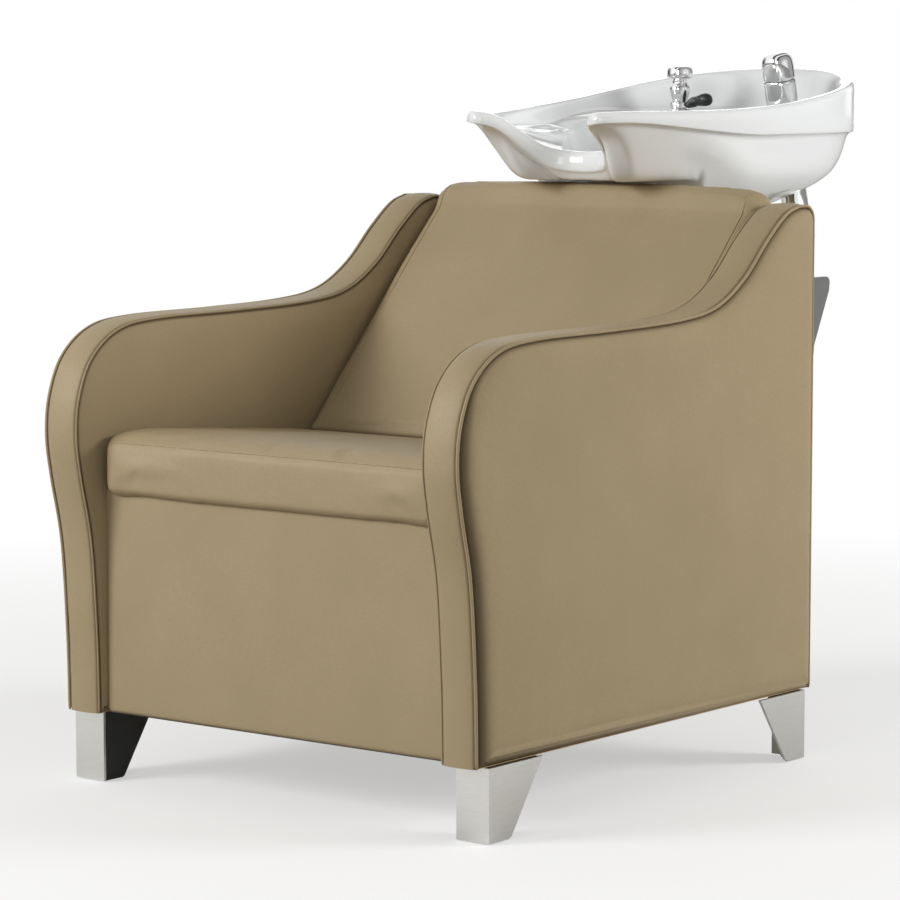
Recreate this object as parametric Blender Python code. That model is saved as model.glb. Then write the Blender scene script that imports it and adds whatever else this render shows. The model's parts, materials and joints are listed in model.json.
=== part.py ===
"""Shampoo backwash unit: an upholstered armchair with a tilting ceramic basin behind its back.

Metres, +Z up. The sitter faces -Y and +X is the sitter's left. The origin is on the floor, in the
middle of the unit's length and width. Every sub-part is one object; empties hold the moving groups.
"""

import math

import bmesh
import bpy
from mathutils import Vector

# ---- driving dimensions -------------------------------------------------------------------------
GAP = 0.0003                 # clearance between neighbouring pieces

BODY_BOTTOM = 0.094          # underside of the upholstered body
BODY_REAR = 0.165            # rear face of the body
ARM_OUTER_X = 0.350          # half the overall width
ARM_SEAM_X = 0.336           # seam between the arm's front band and its outer panel
ARM_INNER_X = 0.2845         # inner side of the arm's band
LINER_X = 0.2775             # sitter's side of the arm's inner panel
LINER_BOTTOM = 0.400
BAND_THICK = 0.012
PANEL_INSET = 0.004          # how far the side panels stay inside the band's outline
ARM_TOP_REAR = 0.750         # flat top of the arm's rear end
ARM_CORNER_R = 0.020

BOARD = 0.018                # plywood boards
PAD = 0.012                  # upholstered panels
FRONT_FACE = -0.565          # face of the front panel
SEAT_DECK_TOP = 0.380
SEAT_FRONT = -0.586
SEAT_TOP_FRONT = 0.463
SEAT_NOSE_R = 0.026

RECLINE = math.radians(43.5) # back cushion's lean from upright
BACK_FOOT = (-0.172, 0.437)  # where the back's face meets the seat, as (y, z)
BACK_THICK = 0.068
BACK_TOP = 0.7755
BACK_FACE_TOP = 0.742        # where the flat face ends and the crown begins
BACK_SHELF = 0.7455          # underside of the crown's rear, on the rear panel
BACK_CORNER_X = 0.262
BACK_CORNER_TOP = 0.770      # the crown's height over its rounded corners

LEG_PLATE = 0.004
LEG_X = (0.293, 0.343)       # across the leg's front plate
LEG_TOP_LENGTH = 0.109
LEG_FOOT_LENGTH = 0.048
LEG_FRONT_Y = -0.560
LEG_REAR_Y = 0.146
LEG_CORNER_R = 0.009
REAR_BLOCK_LENGTHS = (0.060, 0.024)    # top and foot of the smaller blocks in the rear legs
REAR_BLOCK_X = 0.318                   # inner side of those blocks

BRACKET_X = (0.297, 0.303)
BRACKET_TOP = 0.648
BRACKET_FOOT = 0.150
BRACKET_DEPTH = 0.097        # how far its top stands behind the body
RAIL_Y = (0.175, 0.215)
RAIL_Z = (0.600, 0.640)
RAIL_WALL = 0.003

TILT_AXIS = (0.300, 0.668)   # (y, z) of the basin's tilt axis
TILT_ARM_X = (0.075, 0.090)
TILT_CHEEK_X = (0.0905, 0.0965)
TILT_LUG_R = 0.017
PIN_R = 0.005
PIN_HOLE_R = 0.0053
TILT_PLATE_Z = (0.6905, 0.6965)

DRAIN = (0.0, 0.275)
DRAIN_R = 0.0255
BASIN_BOTTOM = 0.700
BASIN_FOOT_R = 0.055
DECK_Z = 0.868
SKIRT_Z = 0.840
BACK_CLEARANCE_Z = 0.777     # the basin's front passes above this height over the chair's back
BACK_CLEARANCE_Y = 0.182
STATIONS = 72                # points round each ring of the basin

MIXER = (-0.090, 0.470)
MIXER_HOLE_R = 0.0140
HANDSET = (0.090, 0.472)
HANDSET_LEAN = math.radians(14)
SLEEVE_R = 0.0190
SLEEVE_HOLE_R = 0.0195
SLEEVE_LENGTH = 0.200
ROUND = 28                   # sides of a turned piece

# Arm outline from the floor end of the front, up and over to the rear, as (y, z).
ARM_FRONT_AND_TOP = [
    (-0.578, BODY_BOTTOM), (-0.581, 0.200), (-0.590, 0.320), (-0.608, 0.405), (-0.616, 0.460),
    (-0.610, 0.512), (-0.585, 0.562), (-0.535, 0.596), (-0.460, 0.607), (-0.300, 0.609),
    (-0.155, 0.613), (-0.070, 0.625), (-0.005, 0.658), (0.050, 0.706), (0.095, 0.739),
    (0.128, ARM_TOP_REAR),
]

# Crest of the basin's rim from the middle of the rear to the middle of the neck rest: (x, y, z).
RIM_HALF = [
    (0.000, 0.6065, 0.932), (0.075, 0.595, 0.929), (0.135, 0.561, 0.922), (0.174, 0.511, 0.912),
    (0.192, 0.450, 0.901), (0.198, 0.370, 0.890), (0.197, 0.290, 0.882), (0.186, 0.205, 0.877),
    (0.163, 0.120, 0.875), (0.134, 0.040, 0.875), (0.113, 0.000, 0.874), (0.097, -0.006, 0.873),
    (0.086, 0.012, 0.869), (0.080, 0.038, 0.858), (0.070, 0.068, 0.8395), (0.053, 0.092, 0.824),
    (0.028, 0.106, 0.8185), (0.000, 0.109, 0.817),
]


# The basin's belly at the rear and at the front: height share against distance share, from the
# foot to the rim: at the rear, along the front and under the two horns beside the neck rest.
BELLY_REAR = [(0.00, 0.00), (0.12, 0.05), (0.30, 0.14), (0.50, 0.27), (0.66, 0.375), (0.78, 0.455),
              (0.87, 0.55), (0.94, 0.67), (0.98, 0.85), (1.00, 1.00)]
BELLY_FRONT = [(0.00, 0.00), (0.12, 0.05), (0.30, 0.15), (0.55, 0.32), (0.70, 0.46), (0.80, 0.63),
               (0.90, 0.81), (1.00, 1.00)]
BELLY_HORN = [(0.00, 0.00), (0.12, 0.05), (0.30, 0.15), (0.55, 0.32), (0.70, 0.48), (0.78, 0.68),
              (0.82, 0.84), (0.90, 0.93), (1.00, 1.00)]
BELLY_STEPS = (0.22, 0.42, 0.60, 0.72, 0.82, 0.90, 0.96, 1.00)


# ---- helpers ------------------------------------------------------------------------------------
def make_material(name, colour, roughness, metallic=0.0):
    material = bpy.data.materials.new(name)
    material.use_nodes = True
    shader = material.node_tree.nodes["Principled BSDF"]
    shader.inputs["Base Color"].default_value = (*colour, 1.0)
    shader.inputs["Roughness"].default_value = roughness
    shader.inputs["Metallic"].default_value = metallic
    return material


def make_empty(name, place, parent=None, lean=0.0):
    empty = bpy.data.objects.new(name, None)
    empty.location = place
    empty.rotation_euler = (lean, 0.0, 0.0)
    empty.parent = parent
    bpy.context.collection.objects.link(empty)
    return empty


def add_piece(name, bm, material, parent, place=(0.0, 0.0, 0.0), smooth=False):
    """Turn a bmesh into a named object under parent; place is in the parent's own frame."""
    bmesh.ops.recalc_face_normals(bm, faces=bm.faces)
    if bm.calc_volume(signed=True) < 0:
        bmesh.ops.reverse_faces(bm, faces=bm.faces)
    mesh = bpy.data.meshes.new(name)
    bm.to_mesh(mesh)
    bm.free()
    mesh.materials.append(material)
    if smooth:
        mesh.shade_smooth()
        mesh.set_sharp_from_angle(angle=math.radians(35))
    piece = bpy.data.objects.new(name, mesh)
    piece.location = place
    piece.parent = parent
    bpy.context.collection.objects.link(piece)
    return piece


def bevel(piece, width, segments=2):
    modifier = piece.modifiers.new("edges", "BEVEL")
    modifier.width = width
    modifier.segments = segments
    modifier.limit_method = "ANGLE"
    modifier.angle_limit = math.radians(40)


def boolean(piece, other, operation):
    """Cut other from piece, or join it to piece; other stays as a hidden guide."""
    modifier = piece.modifiers.new(other.name, "BOOLEAN")
    modifier.operation = operation
    modifier.object = other
    other.hide_render = True
    other.display_type = "WIRE"


def prism(bm, outline, axis, start, end):
    """Extrude a closed outline along axis. Outline pairs are the other two axes in XYZ order."""
    order = {"x": (2, 0, 1), "y": (0, 2, 1), "z": (0, 1, 2)}[axis]

    def corner(pair, height):
        values = (pair[0], pair[1], height)
        return [values[index] for index in order]

    low = [bm.verts.new(corner(pair, start)) for pair in outline]
    high = [bm.verts.new(corner(pair, end)) for pair in outline]
    bm.faces.new(low)
    bm.faces.new(high)
    for index in range(len(outline)):
        after = (index + 1) % len(outline)
        bm.faces.new((low[index], low[after], high[after], high[index]))


def prism_piece(name, outline, axis, start, end, material, parent):
    bm = bmesh.new()
    prism(bm, outline, axis, start, end)
    return add_piece(name, bm, material, parent)


def box_piece(name, low, high, material, parent):
    outline = [(low[0], low[1]), (high[0], low[1]), (high[0], high[1]), (low[0], high[1])]
    return prism_piece(name, outline, "z", low[2], high[2], material, parent)


def skin(bm, rings, closed):
    """Join rings of equal length in order; a closed skin joins last to first, else it is capped."""
    loops = [[bm.verts.new(point) for point in ring] for ring in rings]
    count = len(loops[0])
    pairs = list(zip(loops, loops[1:]))
    if closed:
        pairs.append((loops[-1], loops[0]))
    for one, two in pairs:
        for index in range(count):
            after = (index + 1) % count
            bm.faces.new((one[index], one[after], two[after], two[index]))
    if not closed:
        bm.faces.new(loops[0])
        bm.faces.new(loops[-1])


def circle(radius, height, count=ROUND):
    turns = [2 * math.pi * index / count for index in range(count)]
    return [(radius * math.cos(t), radius * math.sin(t), height) for t in turns]


def turned_piece(name, profile, material, parent, place=(0, 0, 0), hollow=False):
    """A piece turned about its own Z from (radius, z) pairs. A hollow profile runs right round."""
    bm = bmesh.new()
    skin(bm, [circle(radius, height) for radius, height in profile], closed=hollow)
    return add_piece(name, bm, material, parent, place, smooth=True)


def smooth_path(points, steps):
    """Points on a Catmull-Rom curve through the given points."""
    vectors = [Vector(point) for point in points]
    first = 2 * vectors[0] - vectors[1]
    last = 2 * vectors[-1] - vectors[-2]
    vectors = [first, *vectors, last]
    path = []
    for before, a, b, after in zip(vectors, vectors[1:], vectors[2:], vectors[3:]):
        for step in range(steps):
            t = step / steps
            path.append(0.5 * (2 * a + (b - before) * t + (2 * before - 5 * a + 4 * b - after) * t ** 2
                               + (3 * a - before - 3 * b + after) * t ** 3))
    path.append(vectors[-2])
    return path


def arc(centre, radius, start_degrees, end_degrees, steps=4):
    angles = [math.radians(start_degrees + (end_degrees - start_degrees) * step / steps)
              for step in range(steps + 1)]
    return [(centre[0] + radius * math.cos(a), centre[1] + radius * math.sin(a)) for a in angles]


def lerp(a, b, t):
    return a + (b - a) * t


# ---- arms ---------------------------------------------------------------------------------------
def arm_outline(inset):
    """The arm's side outline, open at the bottom, moved inwards by inset: front foot to rear foot."""
    path = [Vector((p[0], p[1])) for p in smooth_path([(y, z) for y, z in ARM_FRONT_AND_TOP], 2)]
    corner = (BODY_REAR - ARM_CORNER_R, ARM_TOP_REAR - ARM_CORNER_R)
    path += [Vector(p) for p in arc(corner, ARM_CORNER_R, 90, 0)]
    path.append(Vector((BODY_REAR, BODY_BOTTOM)))
    moved = []
    for index, point in enumerate(path):
        before = path[max(index - 1, 0)]
        after = path[min(index + 1, len(path) - 1)]
        along = (after - before).normalized()
        moved.append(point + Vector((along.y, -along.x)) * inset)
    moved[0].y = BODY_BOTTOM
    moved[-1] = Vector((BODY_REAR - inset, BODY_BOTTOM))
    return moved


def mirrored_prism(name, outline, inner_x, outer_x, side, material, parent):
    return prism_piece(name, outline, "x", side * inner_x, side * outer_x, material, parent)


def build_arm(side_name, side, materials, parent):
    outside = arm_outline(0.0)
    inside = arm_outline(BAND_THICK)
    band = outside + list(reversed(inside))
    mirrored_prism(f"arm_band_{side_name}", band, ARM_INNER_X, ARM_SEAM_X - GAP, side,
                   materials["upholstery"], parent)

    core = arm_outline(BAND_THICK + GAP)
    core_x = (ARM_INNER_X + 0.001, ARM_SEAM_X - 0.001)
    mirrored_prism(f"arm_core_{side_name}", core, *core_x, side, materials["plywood"], parent)

    outer = arm_outline(PANEL_INSET)
    panel = mirrored_prism(f"arm_outer_panel_{side_name}", outer, ARM_SEAM_X, ARM_OUTER_X, side,
                           materials["upholstery"], parent)
    bevel(panel, 0.005)

    liner = [p for p in arm_outline(PANEL_INSET) if p.y > LINER_BOTTOM]
    liner = [Vector((liner[0].x, LINER_BOTTOM))] + [p for p in liner if p.x < BODY_REAR - BOARD]
    liner.append(Vector((BODY_REAR - BOARD, liner[-1].y)))
    liner.append(Vector((BODY_REAR - BOARD, LINER_BOTTOM)))
    mirrored_prism(f"arm_inner_panel_{side_name}", liner, LINER_X, ARM_INNER_X - GAP, side,
                   materials["upholstery"], parent)


# ---- seat, back and frame -----------------------------------------------------------------------
def back_point(up, behind):
    """A point in the back's own frame: up its face from the foot, and behind the face."""
    y = BACK_FOOT[0] + up * math.sin(RECLINE) + behind * math.cos(RECLINE)
    z = BACK_FOOT[1] + up * math.cos(RECLINE) - behind * math.sin(RECLINE)
    return Vector((y, z))


def slope_at(point, height):
    """Where a line along the back's slope through point reaches a height."""
    return Vector((point.x + (height - point.y) * math.tan(RECLINE), height))


def build_seat(materials, parent):
    top_rear = back_point(-GAP, 0.0)
    heel = back_point(-GAP, BACK_THICK - GAP)
    heel_foot = slope_at(heel, SEAT_DECK_TOP + GAP)
    nose = (SEAT_FRONT + SEAT_NOSE_R, SEAT_TOP_FRONT - SEAT_NOSE_R)
    outline = [Vector((SEAT_FRONT + 0.012, SEAT_DECK_TOP + GAP)), Vector((SEAT_FRONT, 0.395))]
    outline += [Vector(p) for p in arc(nose, SEAT_NOSE_R, 180, 90)]
    outline += [top_rear, heel, heel_foot]
    prism_piece("seat_cushion", outline, "x", -LINER_X + GAP, LINER_X - GAP,
                materials["upholstery"], parent)


def build_back(materials, parent):
    """The back cushion wraps over the rear panel; its crown gets lower towards its rounded corners."""
    face_top = back_point((BACK_FACE_TOP - BACK_FOOT[1]) / math.cos(RECLINE), 0.0)
    inner_rear = BODY_REAR - BOARD
    outline = [back_point(0.0, 0.0), back_point(0.21, 0.0), face_top,
               Vector((face_top.x + 0.014, 0.760)), Vector((face_top.x + 0.030, BACK_TOP - 0.003)),
               Vector((BODY_REAR - 0.012, BACK_TOP)), Vector((BODY_REAR - 0.003, BACK_TOP - 0.005)),
               Vector((BODY_REAR, BACK_TOP - 0.012)), Vector((BODY_REAR, BACK_SHELF)),
               Vector((inner_rear, BACK_SHELF)), Vector((inner_rear, 0.690)),
               slope_at(back_point(0.0, BACK_THICK), 0.670), back_point(0.0, BACK_THICK)]

    def crown(height, top):
        if height <= BACK_SHELF:
            return height
        return BACK_SHELF + (height - BACK_SHELF) * (top - BACK_SHELF) / (BACK_TOP - BACK_SHELF)

    half = LINER_X - GAP
    stations = [(-half, ARM_TOP_REAR), (-BACK_CORNER_X - 0.008, BACK_CORNER_TOP - 0.006),
                (-BACK_CORNER_X + 0.010, BACK_CORNER_TOP), (-0.100, BACK_TOP)]
    stations += [(-x, top) for x, top in reversed(stations)]
    bm = bmesh.new()
    skin(bm, [[(x, p.x, crown(p.y, top)) for p in outline] for x, top in stations], closed=False)
    add_piece("back_cushion", bm, materials["upholstery"], parent)

    board_face = back_point(0.0, BACK_THICK + GAP)
    board_back = back_point(0.0, BACK_THICK + PAD)
    floor = SEAT_DECK_TOP + GAP
    board = [slope_at(board_face, floor), slope_at(board_face, 0.660),
             slope_at(board_back, 0.645), slope_at(board_back, floor)]
    prism_piece("back_board", board, "x", -half, half, materials["plywood"], parent)


def build_frame(materials, parent):
    half = ARM_INNER_X - GAP
    inner_front = FRONT_FACE + PAD + GAP
    inner_rear = BODY_REAR - BOARD + 0.003
    front = box_piece("front_panel", (-half, FRONT_FACE, BODY_BOTTOM),
                      (half, FRONT_FACE + PAD, SEAT_DECK_TOP - 0.001), materials["upholstery"], parent)
    bevel(front, 0.003)
    box_piece("rear_panel", (-half, inner_rear + GAP, BODY_BOTTOM),
              (half, BODY_REAR, BACK_SHELF - 0.0005), materials["upholstery"], parent)
    box_piece("base_board", (-half, inner_front, BODY_BOTTOM),
              (half, inner_rear, BODY_BOTTOM + BOARD), materials["plywood"], parent)
    box_piece("seat_deck", (-half, inner_front, SEAT_DECK_TOP - BOARD),
              (half, inner_rear, SEAT_DECK_TOP), materials["plywood"], parent)
    rail_top = SEAT_DECK_TOP - BOARD - GAP
    box_piece("seat_front_rail", (-half, inner_front, rail_top - 0.060),
              (half, inner_front + 0.022, rail_top), materials["plywood"], parent)
    box_piece("back_rail", (-LINER_X + GAP, 0.118, 0.540), (LINER_X - GAP, inner_rear, 0.600),
              materials["plywood"], parent)


# ---- legs ---------------------------------------------------------------------------------------
def leg_side_outline(corner_y, away, inset, bottom, lengths=(LEG_TOP_LENGTH, LEG_FOOT_LENGTH)):
    """Side view of a leg: upright at its corner and slanted on the side away from it."""
    top = BODY_BOTTOM - GAP
    start = corner_y + away * inset
    top_end = corner_y + away * (lengths[0] - inset)
    foot_end = corner_y + away * (lengths[1] - inset)
    round_r = LEG_CORNER_R - inset
    outline = [Vector((start, top)), Vector((start, bottom))]
    outline += [Vector((foot_end - away * round_r, bottom)),
                Vector((foot_end - away * round_r * 0.3, bottom + round_r * 0.3)),
                Vector((foot_end + away * round_r * 0.3, bottom + round_r * 1.1))]
    outline.append(Vector((top_end, top)))
    return outline


def build_leg(name, side, corner_y, away, materials, parent):
    """A folded metal angle round a moulded foot block; away is +1 when the leg tapers to +Y."""
    inner_x, outer_x = LEG_X
    top = BODY_BOTTOM - GAP
    metal = materials["satin_steel"]
    cladding = mirrored_prism(f"leg_cladding_{name}", leg_side_outline(corner_y, away, 0.0, 0.001),
                              outer_x - LEG_PLATE, outer_x, side, metal, parent)
    plate = mirrored_prism(f"leg_face_{name}", [Vector((corner_y, top)), Vector((corner_y, 0.001)),
                           Vector((corner_y + away * LEG_PLATE, 0.001)),
                           Vector((corner_y + away * LEG_PLATE, top))],
                           inner_x, outer_x - LEG_PLATE / 2, side, metal, parent)
    boolean(cladding, plate, "UNION")
    block = leg_side_outline(corner_y, away, LEG_PLATE + GAP, 0.0)
    block_x = inner_x + 0.003
    if away < 0:
        block = leg_side_outline(corner_y, away, LEG_PLATE + GAP, 0.0, REAR_BLOCK_LENGTHS)
        block_x = REAR_BLOCK_X
    mirrored_prism(f"leg_block_{name}", block, block_x, outer_x - LEG_PLATE - GAP, side,
                   materials["black_plastic"], parent)


# ---- basin support ------------------------------------------------------------------------------
def build_bracket(side_name, side, materials, parent):
    near = BODY_REAR + GAP
    far = BODY_REAR + BRACKET_DEPTH
    outline = [(near, BRACKET_FOOT), (near + 0.006, BRACKET_FOOT), (far - 0.038, 0.556),
               (far - 0.002, 0.628)]
    outline += arc((far - 0.009, BRACKET_TOP - 0.009), 0.009, 0, 90)
    outline.append((near, BRACKET_TOP))
    web = mirrored_prism(f"rear_bracket_{side_name}", outline, *BRACKET_X, side,
                         materials["grey_steel"], parent)
    flange = mirrored_prism(f"bracket_flange_{side_name}",
                            [(near, BRACKET_FOOT), (near + 0.005, BRACKET_FOOT),
                             (near + 0.005, BRACKET_TOP - 0.02), (near, BRACKET_TOP - 0.02)],
                            BRACKET_X[0] + 0.001, BRACKET_X[1] + 0.027, side,
                            materials["grey_steel"], parent)
    boolean(web, flange, "UNION")


def build_cross_rail(materials, parent):
    """A square steel tube between the two brackets, with open ends."""
    half = BRACKET_X[0] - GAP

    def square(x, wall):
        low_y, high_y = RAIL_Y[0] + wall, RAIL_Y[1] - wall
        low_z, high_z = RAIL_Z[0] + wall, RAIL_Z[1] - wall
        return [(x, low_y, low_z), (x, high_y, low_z), (x, high_y, high_z), (x, low_y, high_z)]

    bm = bmesh.new()
    skin(bm, [square(-half, 0), square(half, 0), square(half, RAIL_WALL), square(-half, RAIL_WALL)],
         closed=True)
    add_piece("cross_rail", bm, materials["grey_steel"], parent)


def cross_pin_hole(name, start, end, parent):
    """A cutter along X on the tilt axis."""
    outline = arc(TILT_AXIS, PIN_HOLE_R, 0, 360 - 360 / ROUND, ROUND - 1)
    return prism_piece(name, outline, "x", start, end, bpy.data.materials["grey_steel"], parent)


def build_tilt_arm(side_name, side, materials, parent):
    """A plate that reaches from the cross rail to the tilt axis."""
    axis_y, axis_z = TILT_AXIS
    outline = [(RAIL_Y[1] + GAP, RAIL_Z[0] + 0.001), (RAIL_Y[1] + 0.045, RAIL_Z[0] + 0.001)]
    outline += arc((axis_y, axis_z), TILT_LUG_R, -50, 130, 8)
    outline.append((RAIL_Y[1] + GAP, RAIL_Z[1] - 0.001))
    tilt_arm = mirrored_prism(f"tilt_arm_{side_name}", outline, *TILT_ARM_X, side,
                              materials["grey_steel"], parent)
    hole = cross_pin_hole(f"arm_hole_{side_name}", side * 0.070, side * 0.095, parent)
    boolean(tilt_arm, hole, "DIFFERENCE")


def x_turned_piece(name, profile, material, parent, place):
    """A piece turned about X from (radius, x) pairs, placed with its own origin on the axis."""
    bm = bmesh.new()
    rings = [[(height, a, b) for a, b, height in circle(radius, x)] for radius, x in profile]
    skin(bm, rings, closed=False)
    return add_piece(name, bm, material, parent, place, smooth=True)


def build_hinge_pins(materials, parent):
    """Two headed pins; the left one is longer because it carries the lock lever as well."""
    place = (0.0, TILT_AXIS[0], TILT_AXIS[1])
    head = [(0.0085, 0.0690), (0.0085, 0.0740), (PIN_R, 0.0741)]
    short = head + [(PIN_R, 0.1040), (0.0042, 0.1050)]
    long = head + [(PIN_R, 0.1200), (0.0042, 0.1210)]
    x_turned_piece("hinge_pin_right", [(r, -x) for r, x in short], materials["bright_steel"],
                   parent, place)
    x_turned_piece("hinge_pin_left", long, materials["bright_steel"], parent, place)


def build_tilt_frame(materials, parent):
    """The cradle bolted under the basin: a plate with a hole for the waste, and two cheeks."""
    axis_y, axis_z = TILT_AXIS
    low, high = TILT_PLATE_Z
    far_x = TILT_CHEEK_X[1]
    plate = [(-far_x, axis_y - 0.100), (far_x, axis_y - 0.100), (far_x, axis_y + 0.070),
             (-far_x, axis_y + 0.070)]
    frame = prism_piece("tilt_frame", plate, "z", low, high, materials["grey_steel"], parent)
    for side_name, side in (("left", 1), ("right", -1)):
        cheek = arc((axis_y, axis_z), TILT_LUG_R, 180, 360, 8)
        cheek += [(axis_y + 0.034, low + 0.002), (axis_y - 0.034, low + 0.002)]
        ear = mirrored_prism(f"cheek_{side_name}", cheek, TILT_CHEEK_X[0], far_x - 0.0002, side,
                             materials["grey_steel"], parent)
        boolean(frame, ear, "UNION")
        hole = cross_pin_hole(f"cheek_hole_{side_name}", side * 0.0885, side * 0.0985, parent)
        boolean(frame, hole, "DIFFERENCE")
    waste_hole = turned_piece("waste_hole", [(0.034, low - 0.002), (0.034, high + 0.002)],
                              materials["grey_steel"], parent, (*DRAIN, 0.0))
    boolean(frame, waste_hole, "DIFFERENCE")


def build_lock_lever(materials, parent):
    """The clamp lever on the left pin: a hub with a flat arm and a round grip."""
    start, end = 0.0972, 0.1150
    bm = bmesh.new()
    ring = [(PIN_HOLE_R, start), (0.0120, start), (0.0120, end), (PIN_HOLE_R, end)]
    rings = [[(height, a, b) for a, b, height in circle(radius, x)] for radius, x in ring]
    skin(bm, rings, closed=True)
    lever = add_piece("tilt_lock_lever", bm, materials["black_plastic"], parent, smooth=True)
    bar = bmesh.new()
    prism(bar, [(0.008, -0.006), (0.008, 0.006), (0.080, 0.004), (0.080, -0.004)], "x",
          start + 0.005, end - 0.003)
    arm = add_piece("lever_bar", bar, materials["black_plastic"], parent)
    grip = bmesh.new()
    profile = [(0.0045, 0.070), (0.0085, 0.074), (0.0095, 0.085), (0.0090, 0.100), (0.0050, 0.106)]
    grip_rings = [[(start + 0.0098 + a, height, b) for a, b, height in circle(radius, y, 16)]
                  for radius, y in profile]
    skin(grip, grip_rings, closed=False)
    knob = add_piece("lever_grip", grip, materials["black_plastic"], parent, smooth=True)
    boolean(lever, arm, "UNION")
    boolean(lever, knob, "UNION")
    for piece in (lever, arm, knob):
        piece.rotation_euler = (math.radians(-35), 0.0, 0.0)


# ---- basin --------------------------------------------------------------------------------------
def rim_stations():
    """Rim crest points at equal distances right round, starting at the middle of the rear."""
    half = smooth_path(RIM_HALF, 8)
    lengths = [0.0]
    for one, two in zip(half, half[1:]):
        lengths.append(lengths[-1] + (two - one).length)
    count = STATIONS // 2
    picked = []
    for index in range(count + 1):
        target = lengths[-1] * index / count
        after = next(i for i, length in enumerate(lengths) if length >= target - 1e-9)
        before = max(after - 1, 0)
        span = lengths[after] - lengths[before]
        share = (target - lengths[before]) / span if span > 0 else 0.0
        picked.append(half[before].lerp(half[after], share))
    mirror = [Vector((-p.x, p.y, p.z)) for p in reversed(picked[1:-1])]
    return picked + mirror


def rim_normals(stations):
    """Horizontal outward directions along the rim."""
    normals = []
    for index in range(len(stations)):
        ahead = stations[(index + 1) % len(stations)]
        behind = stations[index - 1]
        along = ahead - behind
        normals.append(Vector((-along.y, along.x, 0.0)).normalized())
    return normals


def front_share(index):
    """0 at the middle of the rear, 1 at the middle of the neck rest, measured along the rim."""
    return 1.0 - abs(1.0 - 2.0 * index / STATIONS)


def fade(value, start, end):
    t = min(max((value - start) / (end - start), 0.0), 1.0)
    return t * t * (3 - 2 * t)


def oval(index, half_width, half_length, centre_y, height):
    turn = math.pi / 2 - 2 * math.pi * index / STATIONS
    x = half_width * math.cos(turn)
    return Vector((x, centre_y + half_length * math.sin(turn), height))


def basin_inner_rings(stations, normals):
    """From just inside the crest down the bowl to the top of the drain hole."""
    rings = [[], [], [], [], [], [], [], []]
    for index, (p, n) in enumerate(zip(stations, normals)):
        share = front_share(index)
        rear = 1.0 - fade(share, 0.30, 0.52)
        neck = fade(share, 0.72, 1.0)
        horn = fade(share, 0.66, 0.74) * (1.0 - fade(share, 0.86, 0.94))
        mouth = oval(index, 0.150, 0.122, 0.298, lerp(lerp(0.842, DECK_Z, rear), 0.7885, neck))
        shoulder = p - n * lerp(0.014, 0.010, horn) - Vector((0, 0, 0.009))
        foot = p - n * lerp(lerp(0.020, 0.026, rear), 0.012, horn)
        foot.z = lerp(lerp(p.z - 0.026, DECK_Z, rear), p.z - 0.0115, max(neck, horn))
        foot.z = max(foot.z, BACK_CLEARANCE_Z + 0.0110)
        halfway = foot.lerp(mouth, 0.45)
        halfway.z = lerp(halfway.z, DECK_Z, rear)
        profile = [p - n * 0.007 - Vector((0, 0, 0.002)), shoulder, foot, halfway, mouth,
                   oval(index, 0.140, 0.108, 0.298, lerp(0.795, 0.768, neck)),
                   oval(index, 0.108, 0.082, 0.290, 0.742), oval(index, 0.060, 0.050, 0.279, 0.7230)]
        for ring, point in zip(rings, profile):
            ring.append(point)
    rings.append([oval(index, DRAIN_R, DRAIN_R, DRAIN[1], 0.7190) for index in range(STATIONS)])
    return rings


def height_at(share, marks):
    """Height share of the outer surface against its distance share from the foot to the rim."""
    for (x0, y0), (x1, y1) in zip(marks, marks[1:]):
        if share <= x1:
            return lerp(y0, y1, (share - x0) / (x1 - x0))
    return 1.0


def belly_floor(y):
    """The lowest the outer surface may lie: above the chair's back, and free behind it."""
    return lerp(BACK_CLEARANCE_Z, BASIN_BOTTOM, fade(y, BACK_CLEARANCE_Y, DRAIN[1] - BASIN_FOOT_R))


def basin_outer_rings(stations, normals):
    """From the drain hole's lower edge along the foot and up the belly and skirt."""
    rings = [[oval(index, DRAIN_R, DRAIN_R, DRAIN[1], BASIN_BOTTOM) for index in range(STATIONS)],
             [oval(index, BASIN_FOOT_R, BASIN_FOOT_R, DRAIN[1], BASIN_BOTTOM)
              for index in range(STATIONS)]]
    belly = [[] for _ in BELLY_STEPS]
    skirt, roll = [], []
    for index, (p, n) in enumerate(zip(stations, normals)):
        share = front_share(index)
        neck = fade(share, 0.79, 0.885)
        front = fade(share, 0.48, 0.66)
        horn = fade(share, 0.755, 0.805) * (1.0 - fade(share, 0.90, 1.00))
        foot = rings[1][index]
        under = Vector((p.x, p.y, 0)) - n * lerp(0.002, -0.002, neck)
        skirt_z = lerp(lerp(SKIRT_Z, p.z - 0.016, fade(share, 0.50, 0.78)), p.z - 0.0290, neck)
        steps = list(BELLY_STEPS)
        if under.y < BACK_CLEARANCE_Y:
            knee = (foot.y - BACK_CLEARANCE_Y) / (foot.y - under.y)
            steps[min(range(len(steps)), key=lambda step: abs(steps[step] - knee))] = knee
        for ring, t in zip(belly, steps):
            height = lerp(height_at(t, BELLY_REAR), height_at(t, BELLY_FRONT), front)
            height = lerp(height, height_at(t, BELLY_HORN), horn)
            x, y = lerp(foot.x, under.x, t), lerp(foot.y, under.y, t)
            ring.append(Vector((x, y, max(lerp(BASIN_BOTTOM, skirt_z, height), belly_floor(y)))))
        lip = Vector((p.x, p.y, 0)) + n * 0.0085
        low_edge = max(skirt_z - 0.001, belly[-1][-1].z + 0.0003)
        skirt.append(Vector((lip.x, lip.y, low_edge)))
        high_edge = max(p.z - 0.007, low_edge + 0.0008)
        roll.append(Vector((lip.x, lip.y, high_edge)) + n * 0.001)
    return rings + belly + [skirt, roll]


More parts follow.
